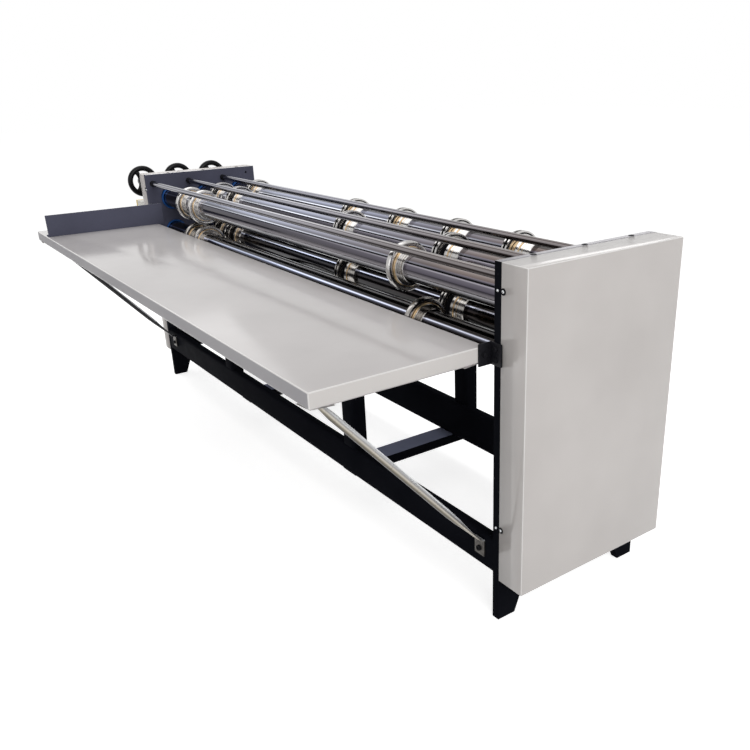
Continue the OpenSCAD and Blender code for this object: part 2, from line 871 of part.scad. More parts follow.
// Slot along X in the table top, as long as the fence travels
fence_bolt_x = fence_x - fence_t - fence_foot / 2;
module fence_slot(y) {
    r = fence_slot_d / 2;
    for (x = [-fence_out, fence_to_mid]) {
        translate([fence_bolt_x + x, y, table_z - table_t - hide]) cylinder(r = r, h = table_t + 2 * hide);
    }
    box([fence_bolt_x - fence_out, y - r, table_z - table_t - hide],
        [fence_bolt_x + fence_to_mid, y + r, table_z + hide]);
}

// Angle brackets on the front edges of the walls that carry the table
bracket_y = -table_gap - 10;
bracket_z = table_z - table_h / 2;
module table_brackets() {
    place() color(black) {
        difference() {
            union() {
                box([table_x1, -bracket_t, bracket_z - bracket_h / 2],
                    [xi + bracket_w - table_right, 0, bracket_z + bracket_h / 2]);
                box([table_x1, bracket_y - 18, bracket_z - bracket_h / 2],
                    [table_x1 + bracket_t, 0, bracket_z + bracket_h / 2]);
            }
            bar_x(table_x1 - hide, table_x1 + bracket_t + hide, bracket_y, bracket_z, bolt_d);
            for (z = [-bracket_h / 4, bracket_h / 4]) {
                bar_y(xi + wall_t / 2, -bracket_t - hide, hide, bracket_z + z, bolt_d);
            }
        }
        difference() {
            union() {
                box([-xo, -bracket_t, table_under - bracket_h], [-xi, 0, table_under]);
                box([-xo, bracket_y - 18, table_under - bracket_t], [-xi, 0, table_under]);
            }
            for (z = [bracket_h / 4, bracket_h * 3 / 4]) {
                bar_y(-xi - wall_t / 2, -bracket_t - hide, hide, table_under - z, bolt_d);
            }
        }
    }
}

// Tube struts from the front beam to the front of the table, with bolted tabs
strut_bolt_z = strut_z - 0.6 * strut_foot_h;
strut_y1 = table_y0 + strut_in;
strut_z1 = table_under - strut_tab / 2 - 0.36 * strut_d;
strut_y0 = -strut_d / 4 - strut_tab;
strut_len = norm([strut_y1 - strut_y0, strut_z1 - strut_z]);
strut_tilt = atan2(strut_y0 - strut_y1, strut_z1 - strut_z);
module table_struts() {
    place() color(steel) for (x = strut_xs) {
        difference() {
            union() {
                translate([x, strut_y0, strut_z]) rotate([strut_tilt, 0, 0])
                    cylinder(d = strut_d, h = strut_len);
                box([x - strut_foot_w / 2, -strut_tab, strut_z - strut_foot_h],
                    [x + strut_foot_w / 2, 0, strut_z + strut_d / 2]);
                box([x - strut_d / 2, strut_y1 - strut_d, table_under - strut_tab],
                    [x + strut_d / 2, strut_y1 + strut_d, table_under]);
            }
            bar_y(x, -strut_tab - hide, hide, strut_bolt_z, bolt_d);
        }
    }
}

// Bolts of the brackets and struts
module table_bolts() {
    d = bolt_d - 2 * seat_gap;
    place() color(steel) {
        bolt_x(table_x1 + bracket_t, bracket_y, bracket_z, d, bracket_t + table_t + 8, 1);
        for (z = [-bracket_h / 4, bracket_h / 4]) {
            bolt_y(xi + wall_t / 2, -bracket_t, bracket_z + z, d, bracket_t);
        }
        for (z = [bracket_h / 4, bracket_h * 3 / 4]) {
            bolt_y(-xi - wall_t / 2, -bracket_t, table_under - z, d, bracket_t);
        }
        for (x = strut_xs) {
            bolt_y(x, -strut_tab, strut_bolt_z, d, strut_tab);
        }
    }
}

// Side fence: an angle of sheet that slides on the table
module side_fence() {
    place() color(dark) difference() {
        union() {
            box([fence_x - fence_t, fence_y0, table_z], [fence_x, fence_y0 + fence_l, table_z + fence_h]);
            box([fence_x - fence_t - fence_foot, fence_y0, table_z],
                [fence_x, fence_y0 + table_d - 12, table_z + fence_t]);
        }
        for (y = fence_slots) {
            translate([fence_bolt_x, y, table_z - hide]) cylinder(d = bolt_d, h = fence_t + 2 * hide);
        }
    }
}

// Knobs on the fence's foot, whose screws pass through the slots
module fence_screws() {
    place() color(black) for (y = fence_slots) {
        translate([fence_bolt_x, y, table_z + fence_t]) cylinder(d = 26, h = 16);
        translate([fence_bolt_x, y, table_z - 14]) cylinder(d = bolt_d - 2 * seat_gap, h = 14 + fence_t);
        translate([fence_bolt_x, y, table_z - table_t - 8]) cylinder(d = 18, h = 8 - move_gap);
    }
}

// Stop switch on the outside of the left cover
box_t = 4;
module stop_box() {
    low = [stop_x - box_x, stop_y - box_y / 2, stop_z - box_z / 2];
    high = [stop_x, stop_y + box_y / 2, stop_z + box_z / 2];
    place() color(pale) difference() {
        box(low, high);
        box(low + [-hide, box_t, box_t], high - [box_t, box_t, box_t]);
    }
}

module stop_lid() {
    x1 = stop_x - box_x;
    place() color("#d8b521") difference() {
        box([x1 - lid_t, stop_y - box_y / 2, stop_z - box_z / 2],
            [x1, stop_y + box_y / 2, stop_z + box_z / 2]);
        bar_x(x1 - lid_t - hide, x1 + hide, stop_y, stop_z, button_d / 2 + 2 * run_gap);
    }
}

module stop_button() {
    x = stop_x - box_x - lid_t - button_travel - button_gap;
    place() color("#b3211c") {
        bar_x(x - button_h, x, stop_y, stop_z, button_d);
        bar_x(x - hide, stop_x - box_x - button_travel - 1, stop_y, stop_z, button_d / 2);
    }
}

left_wall();
right_wall();
front_beam();
rear_beam();
middle_posts();
middle_rails();
left_cover();
right_cover();
cover_screws();
frame_bolts();
lower_bearings();
slide_guides();
drive_motor();
motor_pinion();
feed_table();
table_brackets();
table_struts();
table_bolts();
side_fence();
fence_screws();
stop_box();
stop_lid();
stop_button();
for (k = [0 : 2]) {
    lower_shaft(k);
    upper_shaft(k);
    lower_gear(k);
    upper_gear(k);
    bearing_slide(k);
    setting_rod(k);
    handwheel(k);
    upper_tools(k);
    lower_tools(k);
    for (i = [1 : len(UPPER[k]) - CLAMPED[k]]) {
        upper_tool(k, i);
        lower_tool(k, i);
    }
}
idler_gear(0);  // idler_gear_front
idler_gear(1);  // idler_gear_rear
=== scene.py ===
# Paperboard slitter scorer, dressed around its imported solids.
# The file follows the machine as it is put together: walls, beams, shafts, tools, covers, table.

import math

import bmesh
import bpy
from mathutils import Matrix, Vector


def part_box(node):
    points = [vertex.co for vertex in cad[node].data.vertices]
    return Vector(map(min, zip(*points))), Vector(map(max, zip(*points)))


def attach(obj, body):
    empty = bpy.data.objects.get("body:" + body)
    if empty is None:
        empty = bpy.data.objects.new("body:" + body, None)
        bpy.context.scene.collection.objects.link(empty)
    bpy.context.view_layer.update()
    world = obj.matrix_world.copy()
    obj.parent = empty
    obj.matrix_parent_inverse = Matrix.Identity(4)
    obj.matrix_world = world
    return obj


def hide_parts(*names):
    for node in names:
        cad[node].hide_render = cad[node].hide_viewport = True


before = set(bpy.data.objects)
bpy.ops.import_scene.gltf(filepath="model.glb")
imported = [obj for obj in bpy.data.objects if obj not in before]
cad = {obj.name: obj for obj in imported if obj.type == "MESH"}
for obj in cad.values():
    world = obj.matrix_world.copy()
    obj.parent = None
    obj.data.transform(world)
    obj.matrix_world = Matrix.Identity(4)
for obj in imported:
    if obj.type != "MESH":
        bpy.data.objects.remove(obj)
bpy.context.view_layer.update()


# Wall plates.
# Two upright plates of thick hot-rolled steel, flame cut with a foot at each end,
# drilled for the bearings and brushed with dark grey-blue enamel.

scene = bpy.context.scene
MM = 0.001
LINES = ("front", "mid", "rear")


def colour(code):
    """Linear RGBA of an sRGB hex colour."""
    parts = [int(code[i:i + 2], 16) / 255 for i in (1, 3, 5)]
    return tuple(c / 12.92 if c <= 0.04045 else ((c + 0.055) / 1.055) ** 2.4 for c in parts) + (1.0,)


def plug(tree, node, sockets):
    """Links or sets sockets of a node; a node given as a value stands for its first output."""
    for name, value in sockets.items():
        if isinstance(value, bpy.types.Node):
            value = value.outputs[0]
        if isinstance(value, bpy.types.NodeSocket):
            tree.links.new(value, node.inputs[name])
        else:
            node.inputs[name].default_value = value


def add(tree, kind, sockets=None, stops=(), **settings):
    """Adds a node with its settings, its sockets and, on a colour ramp, its stops of place and tone."""
    made = tree.nodes.new(kind)
    for name, value in settings.items():
        setattr(made, name, value)
    if stops:
        while len(made.color_ramp.elements) < len(stops):
            made.color_ramp.elements.new(0.5)
        for element, (spot, tone) in zip(made.color_ramp.elements, stops):
            element.position = spot
            element.color = colour(tone)
    plug(tree, made, sockets or {})
    return made


def start_material(name):
    """A material with its node tree, its shader and its object coordinates."""
    made = bpy.data.materials.new(name)
    made.use_nodes = True
    tree = made.node_tree
    place = add(tree, "ShaderNodeTexCoord").outputs["Object"]
    return made, tree, tree.nodes["Principled BSDF"], place


def per_mm(size):
    """Noise scale whose features are about that many millimetres wide."""
    return 1 / (size * MM)


def between(deep, light):
    """Ramp stops from a deep to a light tone over the middle of a noise."""
    return [(0.3, deep), (0.7, light)]


# Heights in metres up to which the painted shade near the floor is full and at which it ends
FLOOR_SHADE_FULL, FLOOR_SHADE_END = 0.25, 0.6
# Numbers of the colour sockets of a mix node, whose sockets share their names
MIX_A, MIX_B, MIX_OUT = 6, 7, 2


def surface(name, tones, grain, rough, marks=None, peel=None, bump=None, metal=0.0, shine=0.5, floor_shade=None,
            stretch=None):
    """A material over layers of noise, each with a size in mm, a detail and perhaps a roughness: the tones
    follow the grain, the roughness is one value or takes a span of the marks to a span, and the bump has
    a strength and a depth over the peel. A darker tone near the floor, where it is given, is painted shade."""
    made, tree, shader, place = start_material(name)
    if stretch:
        place = add(tree, "ShaderNodeMapping", {"Vector": place, "Scale": stretch})
    marks, peel = marks or grain, peel or grain
    noise = {}
    for layer in (grain, marks, peel):
        if layer not in noise:
            size, *finer = layer
            noise[layer] = add(tree, "ShaderNodeTexNoise", {"Vector": place, "Scale": per_mm(size),
                                                            **dict(zip(("Detail", "Roughness"), finer))})
    tint = add(tree, "ShaderNodeValToRGB", {"Fac": noise[grain]}, stops=tones)
    if floor_shade:
        height = add(tree, "ShaderNodeSeparateXYZ", {"Vector": place}).outputs["Z"]
        untinted = add(tree, "ShaderNodeMapRange", {"Value": height, "From Min": FLOOR_SHADE_FULL,
                                                 "From Max": FLOOR_SHADE_END})
        tint = add(tree, "ShaderNodeMix", {0: untinted, MIX_A: colour(floor_shade), MIX_B: tint},
                   data_type="RGBA").outputs[MIX_OUT]
    if isinstance(rough, tuple):
        rough = add(tree, "ShaderNodeMapRange", {"Value": noise[marks], "From Min": rough[0],
                                                 "From Max": rough[1], "To Min": rough[2],
                                                 "To Max": rough[3]})
    plug(tree, shader, {"Base Color": tint, "Roughness": rough, "Metallic": metal,
                        "Specular IOR Level": shine})
    if bump:
        skin = add(tree, "ShaderNodeBump", {"Height": noise[peel], "Strength": bump[0], "Distance": bump[1]})
        plug(tree, shader, {"Normal": skin})
    return made


# Brushed enamel: a satin film with soft clouds of tone, a fine orange peel and dull rubbed spots;
# towards the floor it can be darkened as painted shade.
def brushed_enamel(name, deep, light, floor_shade=None):
    """A brushed enamel between two close tones, with a darker tone of painted shade near the floor where it
    is given.
    """
    return surface(name, between(deep, light), (260, 4.0), (0.35, 0.75, 0.34, 0.44),
                   marks=(45, 6.0, 0.7), peel=(3, 2.0), bump=(0.08, 0.2 * MM), shine=0.001, floor_shade=floor_shade)


# Two copies of one frame enamel: the darker one paints shade on the right wall, beams, posts and ties, and
# the lighter slate one paints light on the left wall and fence, with painted shade towards its foot.
shaded_enamel = brushed_enamel("enamel_painted_shaded", "#101116", "#17181d")
lit_enamel = brushed_enamel("enamel_painted_lit", "#4e4f5d", "#575868", "#14151a")


# Milled steel: the top edges are left bare from the milling cutter, with fine cross lines; the left one
# is pale, and the right one is darkened as a painted dark reflection.
def milled(name, deep, light):
    """A milled steel between two tones."""
    return surface(name, between(deep, light), (3, 3.0), 0.3, metal=1.0, stretch=(0.1, 1.0, 0.1))


milled_steel = milled("milled_bare_steel", "#b9b8ba", "#dddcdd")
dark_reflection_milled_steel = milled("milled_steel_painted_dark_reflection", "#67646a", "#88858a")
SHARP = math.radians(35)


def mesh_of(bm, name, materials=()):
    """Mesh of a bmesh with its faces turned outwards and its materials in order."""
    bmesh.ops.recalc_face_normals(bm, faces=bm.faces)
    data = bpy.data.meshes.new(name)
    bm.to_mesh(data)
    bm.free()
    for material in materials:
        data.materials.append(material)
    return data


def piece(name, mesh, materials, body, replaces=(), at=(0, 0, 0)):
    """An object from a mesh or bmesh that rides on a body and stands for the nodes it replaces."""
    data = mesh_of(mesh, name) if isinstance(mesh, bmesh.types.BMesh) else mesh
    for material in materials:
        data.materials.append(material)
    data.shade_smooth()
    made = bpy.data.objects.new(name, data)
    made.location = at
    scene.collection.objects.link(made)
    data.set_sharp_from_angle(angle=SHARP)
    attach(made, body)
    for node_name in replaces:
        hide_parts(node_name)
    return made


def mark(made, slot, test):
    """Gives the faces of a piece that pass a test the finish in a slot."""
    for face in made.data.polygons:
        if test(face):
            face.material_index = slot


def ring_points(y, z, r, count=48, start=0, step=None):
    """Points of a circle in Y and Z, or of a part of it from a start and with a step in degrees."""
    angles = [math.radians(start + i * (step or 360 / count)) for i in range(count)]
    return [(y + r * math.cos(a), z + r * math.sin(a)) for a in angles]


def as_built(made):
    """A new mesh of an object with its bevels and modifiers carried out."""
    bpy.context.view_layer.update()
    return bpy.data.meshes.new_from_object(made.evaluated_get(bpy.context.evaluated_depsgraph_get()))


def plate_mesh(name, outlines, x0, x1, edge):
    """Mesh of a plate drawn in Y and Z with its holes, from x0 to x1, with rounded edges."""
    drawn = bpy.data.curves.new(name, "CURVE")
    drawn.dimensions = "2D"
    drawn.fill_mode = "BOTH"
    drawn.extrude = (x1 - x0) / 2 - edge
    drawn.bevel_depth = edge
    drawn.bevel_resolution = 1
    drawn.offset = -edge
    for points in outlines:
        spline = drawn.splines.new("POLY")
        spline.points.add(len(points) - 1)
        spline.use_cyclic_u = True
        for p, (y, z) in zip(spline.points, points):
            p.co = (y, z, 0, 1)
    holder = bpy.data.objects.new(name, drawn)
    scene.collection.objects.link(holder)
    mesh = as_built(holder)
    bpy.data.objects.remove(holder)
    bpy.data.curves.remove(drawn)
    mesh.transform(Matrix(((0, 0, 1, (x0 + x1) / 2), (1, 0, 0, 0), (0, 1, 0, 0), (0, 0, 0, 1))))
    return mesh


def axis_of(node_name):
    """Y and Z of the middle of a node, which is its axis where it is round along X."""
    low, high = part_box(node_name)
    return (low.y + high.y) / 2, (low.z + high.z) / 2


# A face looks up when its normal points at least so far that way
UPWARD = 0.9
WALL_T = 28 * MM
WALL_EDGE = 1.2 * MM
FOOT_L, FOOT_SLOPE, FOOT_H = 66 * MM, 59 * MM, 145 * MM
WINDOW_R = 55.4 * MM
ROD_HOLE_R = 12.6 * MM
HOLE_IN, HOLE_DOWN, HOLE_R = 47 * MM, 31 * MM, 6 * MM
LIFT = 6 * MM
wall_low, wall_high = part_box("right_wall")
y_front, y_back, wall_top = wall_low.y, wall_high.y, wall_high.z
right_in = wall_low.x
right_out = right_in + WALL_T
left_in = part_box("left_wall")[1].x
left_out = left_in - WALL_T
foot_top = FOOT_L + FOOT_SLOPE
wall_outline = [(y_front, 0), (y_front + FOOT_L, 0), (y_front + foot_top, FOOT_H),
                (y_back - foot_top, FOOT_H), (y_back - FOOT_L, 0), (y_back, 0), (y_back, wall_top),
                (y_front, wall_top)]
shaft_axes = {(level, k): axis_of(f"{level}_shaft_{k}") for level in ("lower", "upper") for k in LINES}
rod_axes = {k: axis_of(f"setting_rod_{k}") for k in LINES}
holes = [ring_points(y_back - HOLE_IN, wall_top - HOLE_DOWN, HOLE_R, 24)]
for k in LINES:
    holes.append(ring_points(*shaft_axes["lower", k], WINDOW_R))
    y, z = shaft_axes["upper", k]
    holes.append([(a, b + (LIFT if b > z else 0)) for a, b in ring_points(y, z, WINDOW_R)])
    holes.append(ring_points(*rod_axes[k], ROD_HOLE_R, 24))
# The left plate takes the lighter enamel as painted light and the right plate the darker one as painted
# shade.
for side, x0, x1, coats in (("left", left_out, left_in, [lit_enamel, milled_steel]),
                            ("right", right_in, right_out, [shaded_enamel, dark_reflection_milled_steel])):
    mesh = plate_mesh(f"{side}_plate", [wall_outline] + holes, x0, x1, WALL_EDGE)
    plate = piece(f"{side}_plate", mesh, coats, "frame", [f"{side}_wall"])
    mark(plate, 1, lambda face: face.normal.z > UPWARD and face.center.z > wall_top - 1 * MM)


# Long beams.
# A front and a rear channel of folded plate from wall to wall, each with a narrow lip above and a
# wide flange below, brushed with the same enamel as the walls.

def channel_outline(y0, z0, z1, width, lip, t, r):
    """Outline in Y and Z of a channel with its web at y0, a flange below and a lip above."""
    far = r + t
    lower, upper = (y0 + far, z0 + far), (y0 + far, z1 - far)
    return ([(y0 + width, z0 + t), *ring_points(*lower, r, 5, 270, -22.5),
             *ring_points(*upper, r, 5, 180, -22.5), (y0 + lip, z1 - t), (y0 + lip, z1),
             *ring_points(*upper, far, 5, 90, 22.5), *ring_points(*lower, far, 5, 180, 22.5),
             (y0 + width, z0)])


BEAM_T = 8 * MM
BEAM_LIP = 34 * MM
FOLD_R = 4 * MM
CUT_EDGE = 0.5 * MM
for name in ("front_beam", "rear_beam"):
    low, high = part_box(name)
    outline = channel_outline(low.y, low.z, high.z, high.y - low.y, BEAM_LIP, BEAM_T, FOLD_R)
    mesh = plate_mesh(f"{name}_channel", [outline], low.x, high.x, CUT_EDGE)
    piece(f"{name}_channel", mesh, [shaded_enamel], "frame", [name])


# Middle frames.
# Folded posts stand on the lips of the beams, and their sides reach down behind the lips; square tubes
# close them at the top, and flat ones tie the beams below, with a paler enamel on their tops as a painted
# sheen.

def block(bm, low, high):
    """Adds a box to a bmesh and gives its corners."""
    low, high = Vector(low), Vector(high)
    box = Matrix.Translation((low + high) / 2) @ Matrix.Diagonal((*(high - low), 1))
    return bmesh.ops.create_cube(bm, size=1, matrix=box)["verts"]


def rounded_block(bm, low, high, edge, segments=2):
    """Adds a box with rounded edges to a bmesh."""
    edges = list({e for v in block(bm, low, high) for e in v.link_edges})
    bmesh.ops.bevel(bm, geom=edges, offset=edge, segments=segments, profile=0.6, affect="EDGES")


def bridge(bm, loops, slot=0, capped=()):
    """Adds the faces between loops of equal length, and one across each loop whose number is capped."""
    for near, far in zip(loops, loops[1:]):
        for i in range(len(near)):
            bm.faces.new((near[i - 1], near[i], far[i], far[i - 1])).material_index = slot
    for number in capped:
        bm.faces.new(loops[number]).material_index = slot


def square_tube(bm, low, high, t, edge):
    """Adds a square tube along Y with open ends to a bmesh."""
    loops = []
    for y, inset in ((low.y, 0), (low.y, t), (high.y, t), (high.y, 0)):
        x0, x1, z0, z1 = low.x + inset, high.x - inset, low.z + inset, high.z - inset
        e = max(edge - inset, 0.8 * MM)
        loop = [(x0 + e, z0), (x1 - e, z0), (x1, z0 + e), (x1, z1 - e), (x1 - e, z1), (x0 + e, z1),
                (x0, z1 - e), (x0, z0 + e)]
        loops.append([bm.verts.new((x, y, z)) for x, z in loop])
    bridge(bm, loops + loops[:1])


def solids_of(node_name):
    """Low and high corner of each separate solid of a node."""
    bm = bmesh.new()
    bm.from_mesh(cad[node_name].data)
    bmesh.ops.remove_doubles(bm, verts=bm.verts, dist=1e-6)
    left, boxes = set(bm.verts), []
    while left:
        group, queue = set(), [next(iter(left))]
        while queue:
            v = queue.pop()
            if v in group:
                continue
            group.add(v)
            queue += [e.other_vert(v) for e in v.link_edges]
        left -= group
        across = list(zip(*(v.co for v in group)))
        boxes.append(([min(c) for c in across], [max(c) for c in across]))
    bm.free()
    return [(Vector(low), Vector(high)) for low, high in sorted(boxes)]


TUBE_T, TUBE_EDGE = 5 * MM, 6 * MM
# A paler enamel on the tops of the low ties paints a sheen.
top_sheen_enamel = brushed_enamel("enamel_painted_top_sheen", "#767b90", "#858aa2")
bm = bmesh.new()
for low, high in solids_of("middle_rails"):
    square_tube(bm, low, high, TUBE_T, TUBE_EDGE)
tubes = piece("cross_tubes", bm, [shaded_enamel, top_sheen_enamel], "frame", ["middle_rails"])
beam_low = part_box("front_beam")[0].z
mark(tubes, 1, lambda face: face.normal.z > UPWARD and abs(face.center.z - beam_low) < 1 * MM)
feet = bmesh.new()
for number, (low, high) in enumerate(solids_of("middle_posts"), 1):
    beam_from, beam_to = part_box("front_beam" if low.y < (y_front + y_back) / 2 else "rear_beam")
    depth = high.y - low.y
    outline = channel_outline(low.y, low.x, high.x, depth, depth, BEAM_T, FOLD_R)
    mesh = plate_mesh(f"post_{number}", [outline], beam_to.z, high.z, CUT_EDGE)
    mesh.transform(Matrix(((0, 0, 1, 0), (0, 1, 0, 0), (1, 0, 0, 0), (0, 0, 0, 1))))
    mesh.flip_normals()
    piece(f"post_{number}", mesh, [shaded_enamel], "frame", ["middle_posts"])
    for x in (low.x, high.x - BEAM_T):
        rounded_block(feet, (x, beam_from.y + BEAM_LIP, low.z),
                      (x + BEAM_T, high.y, beam_to.z + 1 * MM), CUT_EDGE)
piece("post_feet", feet, [shaded_enamel], "frame", ["middle_posts"])


# Bearings and slides.
# Iron castings bored for the shaft ends: round flanges below, lifting plates above.
# Bright blue enamel covers them, and only their noses show inside the walls.

def finish_node(node_name, material):
    """Gives a node that keeps its own shape a material."""
    data = cad[node_name].data
    data.materials.clear()
    data.materials.append(material)


# Casting enamel: a bright glossy film over the pebbled skin of the iron.
blue_enamel = surface("blue_casting_enamel", between("#0c4586", "#1659a5"), (4, 5.0), 0.38,
                      bump=(0.2, 0.4 * MM))
for name in ["lower_bearings"] + [f"bearing_slide_{k}" for k in LINES]:
    finish_node(name, blue_enamel)


# Gear train, guides and bolts.
# Hobbed steel gears on the shaft ends, ground guide strips and plain hexagon bolts,
# all dark with a film of oil behind the covers.

# Oiled steel: a grey metal that is glossy where the oil stands and dull where it has run off.
gear_steel = surface("oiled_machined_steel", [(0.35, "#63615c"), (0.65, "#8d8d8b")], (18, 5.0),
                     (0.0, 1.0, 0.22, 0.45), metal=1.0)
for name in ["slide_guides", "frame_bolts", "motor_pinion", "idler_gear_front", "idler_gear_rear",
             *(f"{level}_gear_{k}" for level, k in shaft_axes)]:
    finish_node(name, gear_steel)


# Drive motor.
# A flange motor on the inside of the gear wall: a ribbed iron body under dark enamel,
# with a pressed fan cowl at its free end.

finish_node("drive_motor", shaded_enamel)
COWL_R = 85 * MM
# Rings of the guard in shares of the cowl's radius
GUARD_RINGS = (0.32, 0.51, 0.7, 0.89)
GUARD_OUT, GUARD_W, GUARD_FLARE = 3 * MM, 4 * MM, 1 * MM


def turned(bm, profile, steps=96, slot=0):
    """Adds a body turned about the X axis from a closed outline of X and radius."""
    centres = {j: bm.verts.new((x, 0, 0)) for j, (x, r) in enumerate(profile) if r == 0}
    rings = []
    for i in range(steps):
        a = math.tau * i / steps
        rings.append([centres[j] if j in centres else bm.verts.new((x, r * math.cos(a), r * math.sin(a)))
                      for j, (x, r) in enumerate(profile)])
    for near, far in zip(rings, rings[1:] + rings[:1]):
        for j in range(len(profile)):
            corners = list(dict.fromkeys((near[j - 1], near[j], far[j], far[j - 1])))
            if len(corners) > 2:
                bm.faces.new(corners).material_index = slot


bm = bmesh.new()
for share in GUARD_RINGS:
    r = COWL_R * share
    turned(bm, [(-GUARD_OUT, r - GUARD_W), (-GUARD_OUT, r), (0, r + GUARD_FLARE),
                (0, r - GUARD_W - GUARD_FLARE)], 48)
piece("fan_guard", bm, [shaded_enamel], "frame", at=(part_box("drive_motor")[0].x, *axis_of("motor_pinion")))


# Tool shafts.
# Six thick steel tubes with turned ends, ground and hard plated to a mirror; the long bright and dark
# bands of whatever stands around them are painted into their colour as reflections.

SHAFT_R, CHAMFER = 46 * MM, 1.2 * MM
# Places along the machine in metres between which the painted reflections turn warmer and browner
WARM_FROM, WARM_TO = -0.2, 1.1
# The bands lie one below the other as they are met on the way down the front of the bar.
ACROSS = (0.0, 0.342, 0.94)


# Ground plated steel: a mirror whose long bright and dark bands of painted reflection run the whole length
# of the bar and turn browner towards +X. The bands are drawn as wide as they need to be to show.
def ground_bar(name, r, bands):
    """A ground bar with painted reflection bands along it: each has its place across the bar, a cool and a
    warm tone.
    """
    made, tree, shader, place = start_material(name)
    across = add(tree, "ShaderNodeVectorMath", {0: place, 1: ACROSS}, operation="DOT_PRODUCT")
    spread = add(tree, "ShaderNodeMapRange", {"Value": across.outputs["Value"], "From Min": r,
                                              "From Max": -r})
    untinted = add(tree, "ShaderNodeValToRGB", {"Fac": spread}, stops=[(b[0], b[1]) for b in bands])
    warm_bands = add(tree, "ShaderNodeValToRGB", {"Fac": spread}, stops=[(b[0], b[2]) for b in bands])
    along = add(tree, "ShaderNodeSeparateXYZ", {"Vector": place}).outputs["X"]
    warm_share = add(tree, "ShaderNodeMapRange", {"Value": along, "From Min": WARM_FROM, "From Max": WARM_TO})
    tint = add(tree, "ShaderNodeMix", {0: warm_share, MIX_A: untinted, MIX_B: warm_bands}, data_type="RGBA")
    smears = add(tree, "ShaderNodeTexNoise", {"Vector": place, "Scale": per_mm(150), "Detail": 4.0})
    gloss = add(tree, "ShaderNodeMapRange", {"Value": smears, "From Min": 0.35, "From Max": 0.7,
                                             "To Min": 0.1, "To Max": 0.16})
    plug(tree, shader, {"Base Color": tint.outputs[MIX_OUT], "Roughness": gloss, "Metallic": 1.0})
    return made


ground_steel = {
    "upper": ground_bar("ground_plated_steel", SHAFT_R, [
        (0.00, "#6b6b6f", "#6f6968"), (0.04, "#a5a7b1", "#8f8785"), (0.09, "#30303a", "#332f2e"),
        (0.14, "#666b80", "#4d4543"), (0.22, "#565b70", "#423936"), (0.28, "#2f3340", "#3c3433"),
        (0.31, "#454854", "#4b474e"), (0.35, "#d9dde8", "#2a2930"), (0.39, "#565560", "#232329"),
        (0.43, "#3a3743", "#a8a4ad"), (0.47, "#383540", "#66626b"), (0.58, "#322f36", "#56525c"),
        (0.63, "#4d4a50", "#2e2b33"), (0.69, "#7f7c83", "#838087"), (0.77, "#b2afb6", "#b0aeb3"),
        (0.82, "#5b595f", "#77757a"), (0.87, "#1b1a20", "#2b292c"), (1.00, "#0d0c10", "#0c0a0b")]),
    # The lower bars take a darker copy of the painted reflection bands as painted shade, with a thin painted
    # highlight line.
    "lower": ground_bar("ground_steel_painted_shaded", SHAFT_R, [
        (0.00, "#1a1920", "#1c1a1b"), (0.10, "#2e2d35", "#302c2b"), (0.20, "#16151c", "#191615"),
        (0.29, "#191921", "#1d1a1a"), (0.33, "#cdd6f0", "#b0b3c2"), (0.37, "#5a627c", "#4c4c55"),
        (0.42, "#10131d", "#161417"), (0.50, "#28262d", "#2b2625"), (0.56, "#3d3941", "#433b37"),
        (0.64, "#26242a", "#2a2523"), (0.72, "#121116", "#151211"), (1.00, "#060608", "#070606")])}


def bar_profile(steps):
    """Closed outline of a stepped bar along X from steps of start, end and radius, with small chamfers."""
    outline = [(steps[0][0], 0.0)]
    for x0, x1, r in steps:
        c = min(CHAMFER, (x1 - x0) / 4)
        outline += [(x0, r - c), (x0 + c, r), (x1 - c, r), (x1, r - c)]
    return outline + [(steps[-1][1], 0.0)]


JOURNAL_R, SEAT_R = 30 * MM, 25 * MM
RECESS = 3.5 * MM
SLIDE_T = 20 * MM
PLAY = 2 * MM
body_start, body_end = left_in - RECESS, right_in + RECESS
journal_end = right_out + SLIDE_T + PLAY
for (level, k), (y, z) in shaft_axes.items():
    name = f"{level}_shaft_{k}"
    low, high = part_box(name)
    bm = bmesh.new()
    turned(bm, bar_profile([(low.x, body_start, JOURNAL_R), (body_start, body_end, SHAFT_R),
                            (body_end, journal_end, JOURNAL_R), (journal_end, high.x, SEAT_R)]))
    piece(f"{level}_bar_{k}", bm, [ground_steel[level]], f"{level}_{k}", [name], at=(0, y, z))


# Tools.
# Slitting and creasing wheels turned from steel, each clamped on its shaft by socket screws
# through a split hub; a yellow-passivated ring lies between the rim and the hub.

# Turned steel: concentric rings from the lathe under a bright polish; on the lower shafts a darker copy
# paints the shade they sit in. The rings are drawn as wide as they need to be to show.
def lathe_steel(name, deep, light):
    """A turned steel between two tones."""
    made, tree, shader, place = start_material(name)
    split = add(tree, "ShaderNodeSeparateXYZ", {"Vector": place})
    flat = add(tree, "ShaderNodeCombineXYZ", {"Y": split.outputs["Y"], "Z": split.outputs["Z"]})
    radius = add(tree, "ShaderNodeVectorMath", {0: flat}, operation="LENGTH").outputs["Value"]
    along = add(tree, "ShaderNodeMath", {0: radius, 1: split.outputs["X"]}, operation="ADD")
    grooves = add(tree, "ShaderNodeTexNoise", {"W": along, "Scale": per_mm(5), "Detail": 1.0},
                  noise_dimensions="1D")
    tint = add(tree, "ShaderNodeValToRGB", {"Fac": grooves}, stops=between(deep, light))
    gloss = add(tree, "ShaderNodeMapRange", {"Value": grooves, "To Min": 0.14, "To Max": 0.24})
    bump = add(tree, "ShaderNodeBump", {"Height": grooves, "Strength": 0.03, "Distance": 0.1 * MM})
    plug(tree, shader, {"Base Color": tint, "Roughness": gloss, "Metallic": 1.0, "Normal": bump})
    return made


turned_steel = lathe_steel("turned_polished_steel", "#a3a1a0", "#c8c6c4")
shaded_turned_steel = lathe_steel("turned_steel_painted_shaded", "#73706d", "#b4b0ac")
